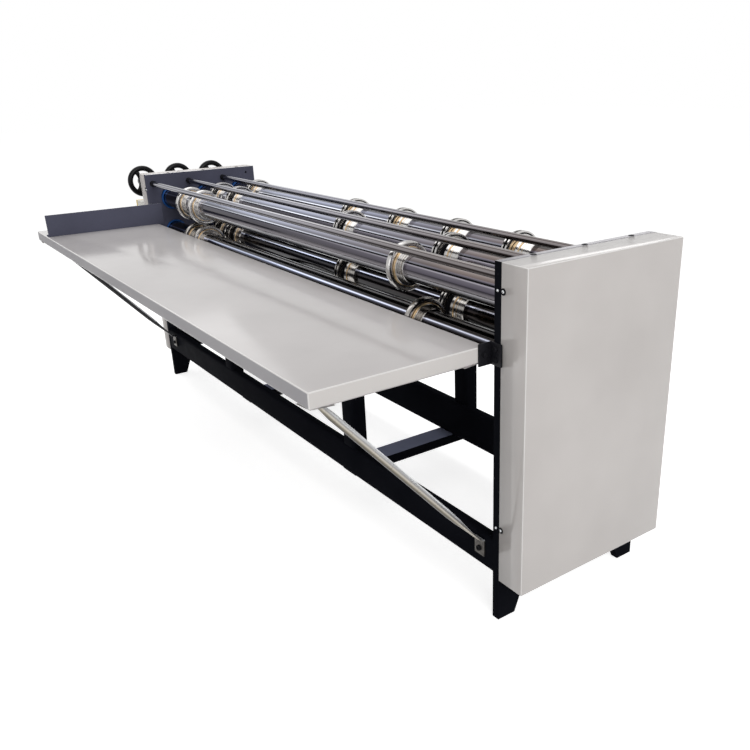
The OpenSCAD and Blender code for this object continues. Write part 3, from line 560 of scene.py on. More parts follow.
# Yellow passivated zinc: a tan metal with faint rainbow clouds.
yellow_zinc = surface("yellow_passivated_zinc", [(0.3, "#b89970"), (0.5, "#cbb38f"), (0.7, "#bfa37d")],
                      (14, 3.0), 0.3, metal=1.0)
# Blackened steel: the oiled oxide skin of socket screws.
black_oxide = surface("black_oxide_steel", between("#121214", "#26262a"), (3, 3.0), 0.36,
                      shine=0.02)


def facing(centre, out):
    """A frame at a centre whose Z axis looks along a direction."""
    turn = Vector((0, 0, 1)).rotation_difference(Vector(out)).to_matrix().to_4x4()
    return Matrix.Translation(centre) @ turn


def ring(bm, spot, r, height, count=24):
    """Adds the corners of a circle at a height over a frame."""
    return [bm.verts.new(spot @ Vector((a, b, height))) for a, b in ring_points(0, 0, r, count)]


def socket_screw(bm, centre, out, r, height, slot):
    """Adds a socket screw head that stands out along a direction, with a sunk hole."""
    spot = facing(centre, out)
    rim = 0.8 * MM
    rings = [(r, 0), (r, height - rim), (r - rim, height), (0.55 * r, height), (0.5 * r, 0.4 * height)]
    bridge(bm, [ring(bm, spot, *size) for size in rings], slot, (0, -1))


CLAMP_SCREWS, CLAMP_TURN = 4, math.radians(15)
CLAMP_BACK, CLAMP_R = 14 * MM, 4 * MM
# Small screw heads stand out this far, from this deep in the face
HEAD_OUT, HEAD_SUNK = 1.2 * MM, 0.5 * MM


def tool_mesh(name, outlines, steel):
    """Mesh of a tool turned from outlines in mm, each with the slot of its finish, mostly in one steel."""
    bm = bmesh.new()
    for outline, slot in outlines:
        turned(bm, [(x * MM, r * MM) for x, r in outline], slot=slot)
    body = outlines[0][0]
    hub_end, hub_r = body[-1][0] * MM, body[-2][1] * MM
    for i in range(CLAMP_SCREWS):
        a = math.tau * i / CLAMP_SCREWS + CLAMP_TURN
        out = Vector((0, math.cos(a), math.sin(a)))
        spot = Vector((hub_end - CLAMP_BACK, 0, 0)) + out * (hub_r - HEAD_SUNK)
        socket_screw(bm, spot, out, CLAMP_R, HEAD_OUT, 2)
    return mesh_of(bm, name, (steel, yellow_zinc, black_oxide))


# The front tools have one broad crowned rim, a passivated collar and a slim sleeve with two seams.
bore, rim = SHAFT_R / MM + 0.05, 81.5
crowned = [
    ([(0, bore), (0, rim - 6), (1, rim - 3), (4, rim - 0.8), (8, rim), (16, rim), (20, rim - 0.8),
      (23, rim - 3), (24, rim - 6), (24, 70), (22.5, 69), (22.5, 62), (31, 62), (32, 61), (32, 52),
      (36, 52), (36, 50.6), (38, 50.6), (38, 52), (50, 52), (50, 50.6), (52, 50.6), (52, 52), (57, 52),
      (58, 51), (58, bore)], 0),
    ([(23.5, 61.5), (23.5, 64), (24.5, 65), (27, 65), (28, 64), (28, 61.5)], 1)]
# The other tools have two thin rims over a slot whose floor is painted black as shade, a groove and a stout
# hub with passivated seams; the groove is blackened on the middle line and passivated on the rear line.
twin_rims = [
    ([(0, bore), (0, rim - 1), (1, rim), (6, rim), (7, rim - 1), (7, rim - 10), (17, rim - 10),
      (17, rim - 1), (18, rim), (23, rim), (24, rim - 1), (24, 76), (22.6, 75.4), (22.6, 71), (24, 70.4),
      (24, 52), (46, 52), (46, 61), (49, 64), (60, 64), (60, 58.5), (62, 58), (76, 58), (76, 56.8),
      (78, 56.8), (78, 58), (107, 58), (110, 55), (110, bore)], 0),
    # Black rings painted as shade lie on the floor of the slot between the rims and of the recess in the
    # face.
    ([(7.1, rim - 10), (7.1, rim - 8), (16.9, rim - 8), (16.9, rim - 10)], 2),
    ([(22.7, 71.2), (22.7, 75.2), (23.3, 75.2), (23.3, 71.2)], 2),
    ([(60.1, 58), (60.1, 61), (61, 61), (62, 60), (62, 58)], 1),
    ([(76.2, 56.8), (76.2, 58.4), (77.8, 58.4), (77.8, 56.8)], 1)]
black_groove = [([(24.1, 52), (24.1, 60), (26, 60), (26, 53.5), (38, 53.5), (38, 52)], 2)]
tan_groove = [([(26, 52), (26, 56), (27, 57), (36, 57), (37, 56), (37, 52)], 1)]
for level, steel in (("upper", turned_steel), ("lower", shaded_turned_steel)):
    for k, kind, outlines in (("front", "crowned", crowned),
                              ("mid", "black_grooved", twin_rims + black_groove),
                              ("rear", "tan_grooved", twin_rims + tan_groove)):
        shape = tool_mesh(f"{level}_{kind}_tool", outlines, steel)
        y, z = shaft_axes[level, k]
        group = f"{level}_tools_{k}"
        for number, (low, _) in enumerate(solids_of(group), 1):
            piece(f"{level}_{k}_clamped_{number}", shape, (), f"{level}_{k}", [group], at=(low.x, y, z))
        for name in sorted(n for n in cad if n.startswith(f"{level}_tool_{k}_")):
            piece(f"{name}_wheel", shape, (), name, [name], at=(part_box(name)[0].x, y, z))


# Setting rods.
# Three drawn bars through both walls; a pinion on each end lifts the upper bearings.
# Each runs in a blackened bush that stands out from the left wall.

ROD_R, PINION_R = 12.5 * MM, 10.6 * MM
# The rods carry painted reflection bands, cool on the left and warmer towards +X.
bright_bar = ground_bar("bright_drawn_steel", ROD_R, [
    (0.00, "#9fa0aa", "#6b6563"), (0.10, "#a9aab4", "#8a8482"), (0.20, "#34333d", "#2f2929"),
    (0.30, "#3a3943", "#332d2d"), (0.42, "#8e8e98", "#827d7d"), (0.55, "#a8a8b0", "#857f80"),
    (0.64, "#2a2931", "#2b2525"), (0.72, "#34333b", "#2f2929"), (0.85, "#8f8f96", "#554e4d"),
    (1.00, "#85858c", "#3a3433")])
BUSH_L, BUSH_R = 34 * MM, 14.5 * MM
WALL_GAP = 0.2 * MM
pinion_from, pinion_to = left_out - SLIDE_T - PLAY, left_out - WALL_GAP
for k, (y, z) in rod_axes.items():
    low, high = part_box(f"setting_rod_{k}")
    bm = bmesh.new()
    turned(bm, bar_profile([(low.x, pinion_from, ROD_R), (pinion_from, pinion_to, PINION_R),
                            (pinion_to, right_out, ROD_R), (right_out, high.x, PINION_R)]), 48)
    piece(f"rod_{k}", bm, [bright_bar], f"setting_{k}", [f"setting_rod_{k}"], at=(0, y, z))
    bm = bmesh.new()
    turned(bm, [(0, ROD_HOLE_R), (0, BUSH_R), (BUSH_L - 1 * MM, BUSH_R), (BUSH_L, BUSH_R - 1 * MM),
                (BUSH_L, ROD_HOLE_R)], 48)
    piece(f"rod_bush_{k}", bm, [black_oxide], "frame", at=(left_in, y, z))


# Handwheels.
# Black phenolic wheels with a fat rim, three spokes that dish towards the hub and a turned steel
# insert in the face of the hub.

# Phenolic: a deep black with a polished skin that hands have hazed in places.
phenolic = surface("black_phenolic", between("#09090b", "#131316"), (22, 4.0),
                   (0.0, 1.0, 0.14, 0.24), shine=0.12)
WHEEL_R, RIM_D = 80 * MM, 27 * MM
HUB_OUT, HUB_BACK, HUB_R = 16 * MM, 16.6 * MM, 25 * MM
INSERT_R, INSERT_T = 13 * MM, 0.4 * MM
SPOKES, SPOKE_FROM = 3, 20 * MM
# The wheel lies about the X axis with its hub towards +X and its face towards -X.
bm = bmesh.new()
rim_middle = WHEEL_R - RIM_D / 2
turned(bm, ring_points(0, rim_middle, RIM_D / 2, 16), 96)
turned(bm, [(-HUB_OUT, INSERT_R), (-HUB_OUT, HUB_R - 3 * MM), (-HUB_OUT + 3 * MM, HUB_R),
            (HUB_BACK - 2 * MM, HUB_R), (HUB_BACK, HUB_R - 2 * MM), (HUB_BACK, ROD_HOLE_R),
            (-HUB_OUT, ROD_HOLE_R)], 48)
turned(bm, [(-HUB_OUT, INSERT_R), (-HUB_OUT + INSERT_T, INSERT_R), (-HUB_OUT + INSERT_T, 0),
            (-HUB_OUT, 0)], 48, 1)
for spoke in range(SPOKES):
    turn = Matrix.Rotation(math.tau * spoke / SPOKES, 4, "X")
    loops = []
    for t in (0.0, 0.25, 0.5, 0.75, 1.0):
        swell = math.sin(math.pi * t)
        r = SPOKE_FROM + t * (rim_middle - SPOKE_FROM)
        wide, deep, lean = (15 - 5 * swell + 2 * t) * MM, (10 - 1.5 * t) * MM, 3 * MM * swell
        loops.append([bm.verts.new(turn @ Vector((deep * w + lean, r, wide * u)))
                      for u, w in ring_points(0, 0, 1, 12)])
    bridge(bm, loops)
wheel = mesh_of(bm, "handwheel", (phenolic, turned_steel))
for k, (y, z) in rod_axes.items():
    face_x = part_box(f"handwheel_{k}")[0].x
    piece(f"wheel_{k}", wheel, (), f"setting_{k}", [f"handwheel_{k}"], at=(face_x + HUB_OUT, y, z))


# End covers.
# Folded sheet boxes screwed over the gears at the right and the bearings at the left,
# powder coated in a warm light grey.

# Powder coat: a smooth hard film with a soft orange peel and faint clouds; over the folds a paler copy
# paints the light they catch as a pale highlight line.
def powder_coat(name, deep, light, dull, shine):
    """A powder coat between two close tones, so dull and so shiny."""
    return surface(name, between(deep, light), (320, 3.0), (0.4, 0.75, dull, dull + 0.07),
                   marks=(60, 8.0, 0.7), peel=(4, 2.0), bump=(0.03, 0.1 * MM), shine=shine)


pale_coat = powder_coat("warm_grey_powder_coat", "#c6c1be", "#cfcac7", 0.14, 0.4)
fold_highlight_coat = powder_coat("powder_coat_painted_fold_highlight", "#e2dfdd", "#eae8e6", 0.14, 0.4)
SHEET_T, BEND_R = 2 * MM, 3 * MM
# A face that looks less than this along any axis belongs to a fold
FOLD_FACE = 0.97


def folded_sheet(sheet, t):
    """Gives a sheet its thickness, and its rounded folds the paler coat of painted highlight in their second
    slot.
    """
    mark(sheet, 1, lambda face: max(abs(c) for c in face.normal) < FOLD_FACE)
    wall = sheet.modifiers.new("sheet", "SOLIDIFY")
    wall.thickness = t
    wall.offset = -1


def cover_mesh(low, high, open_x):
    """Bmesh of a folded sheet box that is open at one X side."""
    bm = bmesh.new()
    block(bm, low, high)
    gone = [f for f in bm.faces if all(abs(v.co.x - open_x) < 1e-6 for v in f.verts)]
    bmesh.ops.delete(bm, geom=gone, context="FACES_ONLY")
    folds = [e for e in bm.edges if len(e.link_faces) == 2]
    bmesh.ops.bevel(bm, geom=folds, offset=BEND_R, segments=5, profile=0.5, affect="EDGES")
    return bm


for side in ("right", "left"):
    low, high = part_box(f"{side}_cover")
    bm = cover_mesh(low, high, low.x if side == "right" else high.x)
    cover = piece(f"{side}_sheet", bm, [pale_coat, fold_highlight_coat], "frame", [f"{side}_cover"])
    folded_sheet(cover, SHEET_T)


# Screws of the covers and walls.
# Pan-head screws with black washers in the open notches of the covers, bright screws in the wall
# edges beside them, and sunk socket screws in the top edges that lock the lifting bearings.

# Bright zinc: a pale plated metal with a faint speckle.
bright_zinc = surface("bright_zinc_plate", between("#b4b6b8", "#e0e2e4"), (2, 3.0), 0.28,
                      metal=1.0)
PAN_H = 3.6 * MM


def pan_screw(bm, centre, out, r, washer, washer_slot):
    """Adds a domed cross-head screw with a washer so many heads wide, facing along a direction."""
    spot = facing(centre, out)
    rings = [ring(bm, spot, *size) for size in (
        (washer * r, 0), (washer * r, 0.9 * MM), (1.02 * r, 1.1 * MM), (r, 1.1 * MM), (r, 0.55 * PAN_H),
        (0.8 * r, 0.86 * PAN_H), (0.45 * r, PAN_H))]
    bridge(bm, rings[:3], washer_slot, (0,))
    bridge(bm, rings[2:], 0, (-1,))
    for turn in (0, math.pi / 2):
        bar = Matrix.Rotation(turn, 4, "Z") @ Matrix.Diagonal((r, 0.22 * r, 0.3 * MM, 1))
        made = bmesh.ops.create_cube(bm, size=1, matrix=spot @ Matrix.Translation((0, 0, PAN_H)) @ bar)
        for f in {f for v in made["verts"] for f in v.link_faces}:
            f.material_index = washer_slot


NOTCH_IN = 7 * MM
SCREW_HEIGHTS = (1024 * MM, 318 * MM)
COVER_SCREW_R, EDGE_SCREW_R, SMALL_SCREW_R = 4.2 * MM, 3.6 * MM, 3.5 * MM
# Washers in widths of the screw head
COVER_WASHER, EDGE_WASHER = 2.3, 1.1
LOCK_R, LOCK_H, LOCK_SUNK = 9 * MM, 3 * MM, 2 * MM
SMALL_SCREW_DOWN = 33 * MM
BLOCK, BLOCK_EDGE = 16 * MM, 0.8 * MM
bm = bmesh.new()
for side, wall_out, wall_in in ((1, right_out, right_in), (-1, left_out, left_in)):
    middle = (wall_out + wall_in) / 2
    notch = wall_out + side * NOTCH_IN
    block_from, block_to = sorted((wall_out, wall_out + side * BLOCK))
    for z in SCREW_HEIGHTS:
        pan_screw(bm, (notch, y_front, z), (0, -1, 0), COVER_SCREW_R, COVER_WASHER, 1)
        pan_screw(bm, (notch, y_back, z), (0, 1, 0), COVER_SCREW_R, COVER_WASHER, 1)
        pan_screw(bm, (middle, y_front, z), (0, -1, 0), EDGE_SCREW_R, EDGE_WASHER, 0)
        for y in (y_front + SHEET_T, y_back - SHEET_T - BLOCK):
            rounded_block(bm, (block_from, y, z - BLOCK / 2), (block_to, y + BLOCK, z + BLOCK / 2),
                          BLOCK_EDGE)
    for k in LINES:
        spot = (middle, shaft_axes["upper", k][0], wall_top - LOCK_SUNK)
        socket_screw(bm, spot, (0, 0, 1), LOCK_R, LOCK_H, 1)
    socket_screw(bm, (middle, y_front + 1 * MM, wall_top - SMALL_SCREW_DOWN), (0, -1, 0), SMALL_SCREW_R,
                 HEAD_OUT, 1)
piece("cover_and_wall_screws", bm, [bright_zinc, black_oxide], "frame", ["cover_screws"])


# Feed table.
# A tray of folded sheet with its edges turned down and in, powder coated with the covers;
# the corners are welded and ground round.

# The boards that slide over the table have rubbed its coat to a satin; on the front face a duller, greyer
# copy paints shade, and at the ends a paler copy paints light.
rubbed_coat = powder_coat("rubbed_powder_coat", "#c2bebd", "#cbc7c6", 0.1, 0.2)
shaded_front_coat = powder_coat("powder_coat_painted_shaded_front", "#b3b1b4", "#bcbabc", 0.4, 0.005)
lit_end_coat = powder_coat("powder_coat_painted_lit_ends", "#d5d1ce", "#ddd9d6", 0.16, 0.2)
# A face looks square along an axis when its normal points at least so far that way
SQUARE_ON = 0.99
LIP_T, LIP_W = 3 * MM, 72 * MM
CORNER_R = 5 * MM
SLOT_HALF, SLOT_DEEP = 4.5 * MM, 8 * MM
SLOT_OUT, SLOT_IN = 60 * MM, 15 * MM
table_low, table_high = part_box("feed_table")
# The tray is a block with rounded edges, opened below inside a turned-in lip.
bm = bmesh.new()
rounded_block(bm, table_low, table_high, CORNER_R, 4)
under = [f for f in bm.faces if f.normal.z < -SQUARE_ON]
bmesh.ops.inset_region(bm, faces=under, thickness=LIP_W - CORNER_R, depth=0)
middle = (table_low + table_high) / 2
mouth = min((f for f in bm.faces if f.normal.z < -SQUARE_ON),
            key=lambda f: (f.calc_center_median() - middle).xy.length)
bmesh.ops.delete(bm, geom=[mouth], context="FACES")
table = piece("table_tray", bm, [rubbed_coat, fold_highlight_coat, shaded_front_coat, lit_end_coat], "frame", ["feed_table"])
folded_sheet(table, LIP_T)
mark(table, 2, lambda face: face.normal.y < -SQUARE_ON)
mark(table, 3, lambda face: abs(face.normal.x) > SQUARE_ON)
bm = bmesh.new()
for low, high in solids_of("fence_screws"):
    x, y, _ = (low + high) / 2
    rounded_block(bm, (x - SLOT_OUT - SLOT_HALF, y - SLOT_HALF, table_high.z - SLOT_DEEP),
                  (x + SLOT_IN + SLOT_HALF, y + SLOT_HALF, table_high.z + SLOT_DEEP), SLOT_HALF * 0.98, 6)
cutter = bpy.data.objects.new("slots", mesh_of(bm, "slots"))
scene.collection.objects.link(cutter)
cut = table.modifiers.new("slots", "BOOLEAN")
cut.object = cutter
cut_mesh = as_built(table)
table.modifiers.clear()
table.data = cut_mesh
cut_mesh.set_sharp_from_angle(angle=SHARP)
bpy.data.objects.remove(cutter)


# Table brackets and bolts.
# Black angle pieces bolted to the front edges of the walls, with hexagon bolts and washers
# in blackened steel.

# Satin paint: a thin black coat over the mill skin, slightly uneven.
black_paint = surface("satin_black_paint", between("#121215", "#1f1f24"), (6, 5.0), 0.42,
                      shine=0.1, bump=(0.1, 0.2 * MM))


def hex_bolt(bm, centre, out, d, slot):
    """Adds a hexagon bolt head with a chamfered top and a washer, facing along a direction."""
    spot = facing(centre, out)
    bridge(bm, [ring(bm, spot, 1.15 * d, h * d, 36) for h in (0, 0.18)], slot, (0, 1))
    head = [(0.92, 0.18), (0.92, 0.75), (0.74, 0.86)]
    bridge(bm, [ring(bm, spot, r * d, h * d, 6) for r, h in head], slot, (-1,))


BOLT_D = 8 * MM
BRACKET_T, BRACKET_EDGE = 5 * MM, 1.2 * MM
SIDE_BOLT_OUT = 28 * MM
STRUT_TAB = 6 * MM
FOOT_BOLT_UP, FOOT_BOLT_R, FOOT_BOLT_H = 21.6 * MM, 9 * MM, 6 * MM
(left_from, left_to), (right_from, right_to) = solids_of("table_brackets")
bm = bmesh.new()
for low, high in ((left_from, left_to), (right_from, right_to)):
    rounded_block(bm, (low.x, high.y - BRACKET_T, low.z), high, BRACKET_EDGE)
rounded_block(bm, (left_from.x, left_from.y, left_to.z - BRACKET_T),
              (left_to.x, left_to.y - 1 * MM, left_to.z), BRACKET_EDGE)
rounded_block(bm, right_from, (right_from.x + BRACKET_T, right_to.y - 1 * MM, right_to.z), BRACKET_EDGE)
piece("angle_brackets", bm, [black_paint], "frame", ["table_brackets"])

bracket_mid, quarter = (right_from.z + right_to.z) / 2, (right_to.z - right_from.z) / 4
right_mid, left_mid = (right_in + right_out) / 2, (left_in + left_out) / 2
strut_boxes = solids_of("table_struts")
bm = bmesh.new()
hex_bolt(bm, (right_from.x + BRACKET_T, y_front - SIDE_BOLT_OUT, bracket_mid), (1, 0, 0), BOLT_D, 1)
for x, z in ((right_mid, bracket_mid - quarter), (right_mid, bracket_mid + quarter),
             (left_mid, left_to.z - quarter), (left_mid, left_to.z - 3 * quarter)):
    hex_bolt(bm, (x, y_front - BRACKET_T, z), (0, -1, 0), BOLT_D, 1)
for low, high in strut_boxes:
    spot = ((low.x + high.x) / 2, y_front - STRUT_TAB, low.z + FOOT_BOLT_UP)
    socket_screw(bm, spot, (0, -1, 0), FOOT_BOLT_R, FOOT_BOLT_H, 1)
piece("table_hex_bolts", bm, [bright_zinc, black_oxide], "frame", ["table_bolts"])


# Table struts.
# Zinc-plated tubes from the front beam up to the front of the table; the lower end is pressed flat
# into a wide foot, bent to the beam and bolted there.

# Pressed foot: the zinc is duller and darker brown-grey on the flattened foot.
dark_foot_zinc = surface("darker_zinc_plate_on_foot", between("#3f3c3a", "#605c58"), (12, 5.0), 0.42,
                       metal=0.8)
STRUT_R = 11.5 * MM
STRUT_TOP_IN = 46 * MM
STRUT_FOOT_H = 54 * MM
TAB_EDGE = 1.5 * MM
RING = 32
strut_top = Vector((0, table_low.y + STRUT_TOP_IN, table_low.z - STRUT_TAB / 2 - 0.72 * STRUT_R))
strut_knee = Vector((0, y_front - STRUT_TAB - STRUT_R / 2, strut_boxes[0][0].z + STRUT_FOOT_H))
strut_under = (strut_knee - strut_top).cross(Vector((1, 0, 0))).normalized()


# Plated tube: a painted highlight along the top of the tube and painted shade, warm and dull, along its
# underside, with cloudy patches; the far one is painted black below its bright line as a dark reflection.
def zinc_tube(name, tones):
    """A plated tube with its tones of painted highlight and shade from the top down."""
    made, tree, shader, place = start_material(name)
    offset = add(tree, "ShaderNodeVectorMath", {0: place, 1: strut_top}, operation="SUBTRACT")
    depth = add(tree, "ShaderNodeVectorMath", {0: offset, 1: strut_under}, operation="DOT_PRODUCT")
    below = add(tree, "ShaderNodeMapRange", {"Value": depth.outputs["Value"], "From Min": -STRUT_R,
                                             "From Max": STRUT_R})
    tint = add(tree, "ShaderNodeValToRGB", {"Fac": below}, stops=tones)
    weather = add(tree, "ShaderNodeTexNoise", {"Vector": place, "Scale": per_mm(40), "Detail": 5.0})
    gloss = add(tree, "ShaderNodeMapRange", {"Value": weather, "To Min": 0.2, "To Max": 0.36})
    plug(tree, shader, {"Base Color": tint, "Roughness": gloss, "Metallic": 0.5})
    return made


plated_tubes = [
    zinc_tube("zinc_tube_painted_dark_reflection", [(0.0, "#f5f7f9"), (0.18, "#d8dadd"), (0.34, "#2a2a2e"), (1.0, "#0e0e10")]),
    zinc_tube("zinc_tube_painted_highlight_and_shade", [(0.0, "#f5f7f9"), (0.22, "#f5f7f9"), (0.4, "#8e8c8c"), (0.6, "#bdb7ab"),
                                   (0.75, "#7f786a"), (0.89, "#575146"), (1.0, "#2a2723")])]


def strut_mesh(x, top, knee, foot_z, foot_half):
    """Bmesh of a tube from the table down to a knee, where it goes on as a flat foot on the beam."""
    bm = bmesh.new()
    along = (knee - top).normalized()
    length = (knee - top).length
    side, down = Vector((1, 0, 0)), Vector((0, 0, -1))
    half = STRUT_TAB / 2
    # Each station has its centre, its direction, half its width and thickness, and how square it is.
    stations = [(top, along, STRUT_R, STRUT_R * 0.6, 2.0), (top + along * 0.05, along, STRUT_R, STRUT_R, 2.0)]
    for back, wide, thick, square in ((0.17, STRUT_R, STRUT_R, 2.0), (0.12, 13 * MM, 9.5 * MM, 2.0),
                                      (0.08, 16 * MM, 6.5 * MM, 2.2), (0.04, 19.5 * MM, 4.2 * MM, 2.8),
                                      (0.012, 0.97 * foot_half, half, 4.0)):
        stations.append((top + along * (length - back), along, wide, thick, square))
    for z, way, square in ((knee.z, (along + down).normalized(), 6.0), (knee.z - 8 * MM, down, 8.0),
                           (foot_z, down, 8.0)):
        stations.append((Vector((x, y_front - half, z)), way, foot_half, half, square))
    loops = []
    for centre, way, wide, thick, square in stations:
        out = side.cross(way)
        loop = []
        for c, d in ring_points(0, 0, 1, RING):
            u = math.copysign(abs(c) ** (2 / square), c) * wide
            v = math.copysign(abs(d) ** (2 / square), d) * thick
            loop.append(bm.verts.new(centre + side * u + out * v))
        loops.append(loop)
    bridge(bm, loops[:-2], 0, (0,))
    bridge(bm, loops[-3:], 1, (-1,))
    return bm


for number, ((low, high), plated_tube) in enumerate(zip(strut_boxes, plated_tubes), 1):
    x = (low.x + high.x) / 2
    across = Vector((x, 0, 0))
    bm = strut_mesh(x, strut_top + across, strut_knee + across, low.z, (high.x - low.x) / 2)
    rounded_block(bm, (x - STRUT_R, strut_top.y - 2 * STRUT_R, table_low.z - STRUT_TAB),
                  (x + STRUT_R, strut_top.y + 2 * STRUT_R, table_low.z), TAB_EDGE)
    piece(f"strut_{number}", bm, [plated_tube, dark_foot_zinc], "frame", ["table_struts"])


# Side fence.
# A folded strip that stands on the table and squares up the board, in the lighter slate enamel that paints it
# lit, with its top edge rubbed bare; two knobs clamp its foot through slots in the table.

FENCE_T, FENCE_EDGE = 5 * MM, 1 * MM
FENCE_FOOT_L = 521 * MM
# The bare edge takes in the rounding beside it, whose faces look up at least so far
BARE_EDGE = 0.3
fence_low, fence_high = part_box("side_fence")
bm = bmesh.new()
rounded_block(bm, (fence_high.x - FENCE_T, fence_low.y, fence_low.z), fence_high, FENCE_EDGE)
rounded_block(bm, fence_low, (fence_high.x - FENCE_T + 1 * MM, fence_low.y + FENCE_FOOT_L,
                              fence_low.z + FENCE_T), FENCE_EDGE)
strip = piece("fence_strip", bm, [lit_enamel, milled_steel], "side_fence", ["side_fence"])
mark(strip, 1, lambda face: face.normal.z > BARE_EDGE and face.center.z > fence_high.z - 2 * MM)

# Each step of a knob has its height under the top in mm and its share of the full radius.
KNOB_STEPS = ((-16, 0.72), (-13, 0.8), (-10, 1.0), (-3, 1.0), (-0.6, 0.9), (0, 0.75))
FLUTES, FLUTE_DEPTH, FLUTED_FROM = 8, 0.07, -12
NUT_HALF, NUT_LOW, NUT_HIGH = 9 * MM, 11 * MM, 3.5 * MM
bm = bmesh.new()
for low, high in solids_of("fence_screws"):
    x, y, _ = (low + high) / 2
    r = (high.x - low.x) / 2
    loops = []
    for h, share in KNOB_STEPS:
        loop = []
        for i in range(48):
            a = math.tau * i / 48
            wave = 1 - FLUTE_DEPTH * (0.5 + 0.5 * math.cos(FLUTES * a)) if h > FLUTED_FROM else 1
            reach = r * share * wave
            loop.append(bm.verts.new((x + reach * math.cos(a), y + reach * math.sin(a), high.z + h * MM)))
        loops.append(loop)
    bridge(bm, loops, 0, (0, -1))
    rounded_block(bm, (x - NUT_HALF, y - NUT_HALF, table_high.z - NUT_LOW),
                  (x + NUT_HALF, y + NUT_HALF, table_high.z - NUT_HIGH), 1 * MM)
piece("fence_knobs", bm, [phenolic], "side_fence", ["fence_screws"])


# Stop switch.
# A moulded box on the outside of the left cover with a yellow lid and a red mushroom button,
# all in a tough plastic.

# Moulded plastic: a fine spark-eroded grain with slight flow clouds.
def moulded(name, deep, light, rough):
    """A moulded plastic between two close tones, so rough."""
    return surface(name, between(deep, light), (25, 3.0), rough, peel=(1.2, 2.0),
                   bump=(0.15, 0.1 * MM))


grey_abs = moulded("light_grey_abs", "#cfcdc6", "#d8d6d0", 0.45)
yellow_abs = moulded("yellow_abs", "#d8b41c", "#e2c02c", 0.42)
red_abs = moulded("red_abs", "#b01712", "#c0211a", 0.3)
LID_SCREW_Y, LID_SCREW_Z = 30 * MM, 45 * MM
BOX_EDGE, LID_EDGE = 4 * MM, 3 * MM
bm = bmesh.new()
rounded_block(bm, *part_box("stop_box"), BOX_EDGE, 3)
piece("switch_box", bm, [grey_abs], "frame", ["stop_box"])
low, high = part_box("stop_lid")
bm = bmesh.new()
rounded_block(bm, low, high, LID_EDGE, 3)
y, z = axis_of("stop_lid")
for dy in (-LID_SCREW_Y, LID_SCREW_Y):
    for dz in (-LID_SCREW_Z, LID_SCREW_Z):
        socket_screw(bm, (low.x, y + dy, z + dz), (-1, 0, 0), SMALL_SCREW_R, HEAD_OUT, 1)
piece("switch_lid", bm, [yellow_abs, bright_zinc], "frame", ["stop_lid"])
low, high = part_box("stop_button")
button = [(0, 0), (0.6, 9), (3, 15), (7, 18.8), (12, 20), (20, 19.4), (22, 17), (22, 10)]
stem_end = high.x - low.x
bm = bmesh.new()
turned(bm, [(x * MM, r * MM) for x, r in button] + [(stem_end, 10 * MM), (stem_end, 0)], 64)
piece("mushroom_button", bm, [red_abs], "stop_button", ["stop_button"],
      at=(low.x, *axis_of("stop_button")))


# Floor, light and camera.
# A pale studio floor, wide soft lamps and a camera at the photograph's place.

scene.view_settings.view_transform = "Standard"
FLOOR_HALF, FLOOR_GLOW, ROOM_LEVEL = 30, 0.74, 0.33


def seen_directly(tree):
    """1 for rays from the lens and for those that metal and glass send on, otherwise 0."""
    path = add(tree, "ShaderNodeLightPath")
    first = add(tree, "ShaderNodeMath", {0: path.outputs["Is Camera Ray"], 1: path.outputs["Is Glossy Ray"]},
                operation="MAXIMUM")
    return add(tree, "ShaderNodeMath", {0: first, 1: path.outputs["Is Transmission Ray"]},
               operation="MAXIMUM")


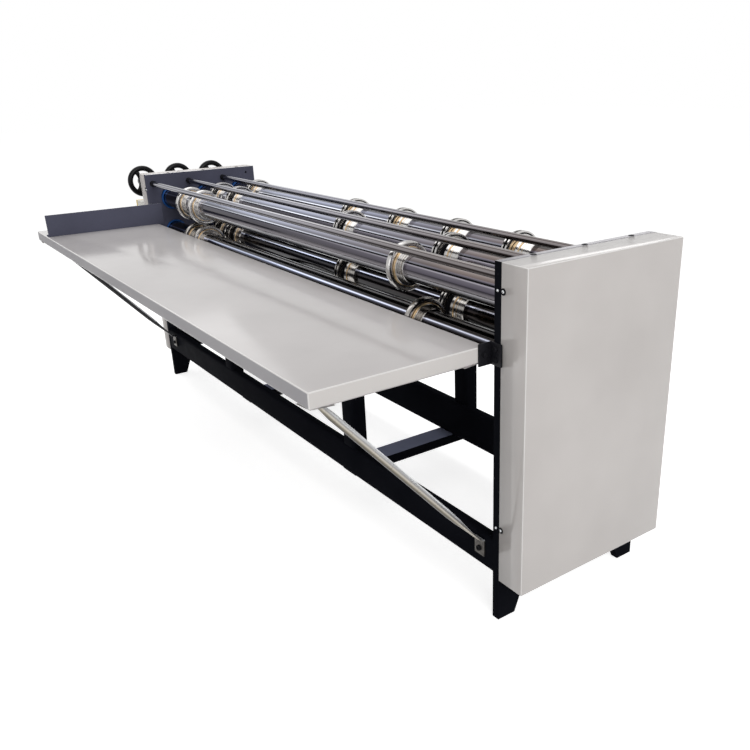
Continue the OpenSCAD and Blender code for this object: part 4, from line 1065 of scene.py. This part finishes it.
# Paper: a matt white that the lens, metal and glass see lit from behind, and that keeps the shadow.
paper, tree, shader, _ = start_material("white_paper_floor")
glow = add(tree, "ShaderNodeMath", {0: seen_directly(tree), 1: FLOOR_GLOW}, operation="MULTIPLY")
plug(tree, shader, {"Base Color": colour("#e6e6e6"), "Roughness": 0.9, "Specular IOR Level": 0.0,
                    "Emission Color": colour("#ffffff"), "Emission Strength": glow})
bm = bmesh.new()
bmesh.ops.create_grid(bm, x_segments=1, y_segments=1, size=FLOOR_HALF)
floor = bpy.data.objects.new("floor", mesh_of(bm, "floor", [paper]))
scene.collection.objects.link(floor)

world = bpy.data.worlds.new("studio")
scene.world = world
world.use_nodes = True
tree = world.node_tree
level = add(tree, "ShaderNodeMapRange", {"Value": seen_directly(tree), "To Min": ROOM_LEVEL, "To Max": 1.0})
plug(tree, tree.nodes["Background"], {"Color": colour("#ffffff"), "Strength": level})

# Wide soft lamps, each with its place, what it faces, its size and its power
for name, spot, target, size, power in (
        ("side_lamp", (10.5, -1.5, 5.5), (0.6, 0.1, 0.8), (8.0, 8.0), 540),
        ("front_lamp", (1.2, -8.0, 3.2), (0.2, -0.4, 0.7), (5.0, 4.0), 67),
        ("top_lamp", (0.3, 0.0, 4.2), (0.3, 0.0, 0.0), (6.5, 3.0), 51),
        ("far_lamp", (-2.8, -0.3, 3.4), (-1.5, -0.3, 0.87), (3.4, 3.4), 44),
        ("window_lamp", (-1.1, 3.2, 1.9), (1.5, 0.3, 1.1), (1.2, 0.8), 3.5)):
    light = bpy.data.lights.new(name, "AREA")
    light.shape = "RECTANGLE"
    light.size, light.size_y = size
    light.energy = power
    lamp = bpy.data.objects.new(name, light)
    lamp.location = spot
    lamp.rotation_euler = (Vector(target) - Vector(spot)).to_track_quat("-Z", "Y").to_euler()
    scene.collection.objects.link(lamp)

LENS, FILM = 38.0, 36.0
SHIFT_X, SHIFT_Y = -0.0791, 0.0307
CAMERA_AT = Vector((2.9804, -1.3353, 1.5372))
RIGHT = Vector((0.59539, 0.80312, -0.02247))
DOWN = Vector((0.28968, -0.24067, -0.92637))
AHEAD = Vector((-0.7494, 0.54505, -0.37594))
lens = bpy.data.cameras.new("photo_camera")
lens.lens, lens.sensor_width = LENS, FILM
lens.shift_x, lens.shift_y = SHIFT_X, SHIFT_Y
camera = bpy.data.objects.new("photo_camera", lens)
scene.collection.objects.link(camera)
turn = Matrix((RIGHT, -DOWN, -AHEAD)).transposed().to_4x4()
camera.matrix_world = Matrix.Translation(CAMERA_AT) @ turn
scene.camera = camera
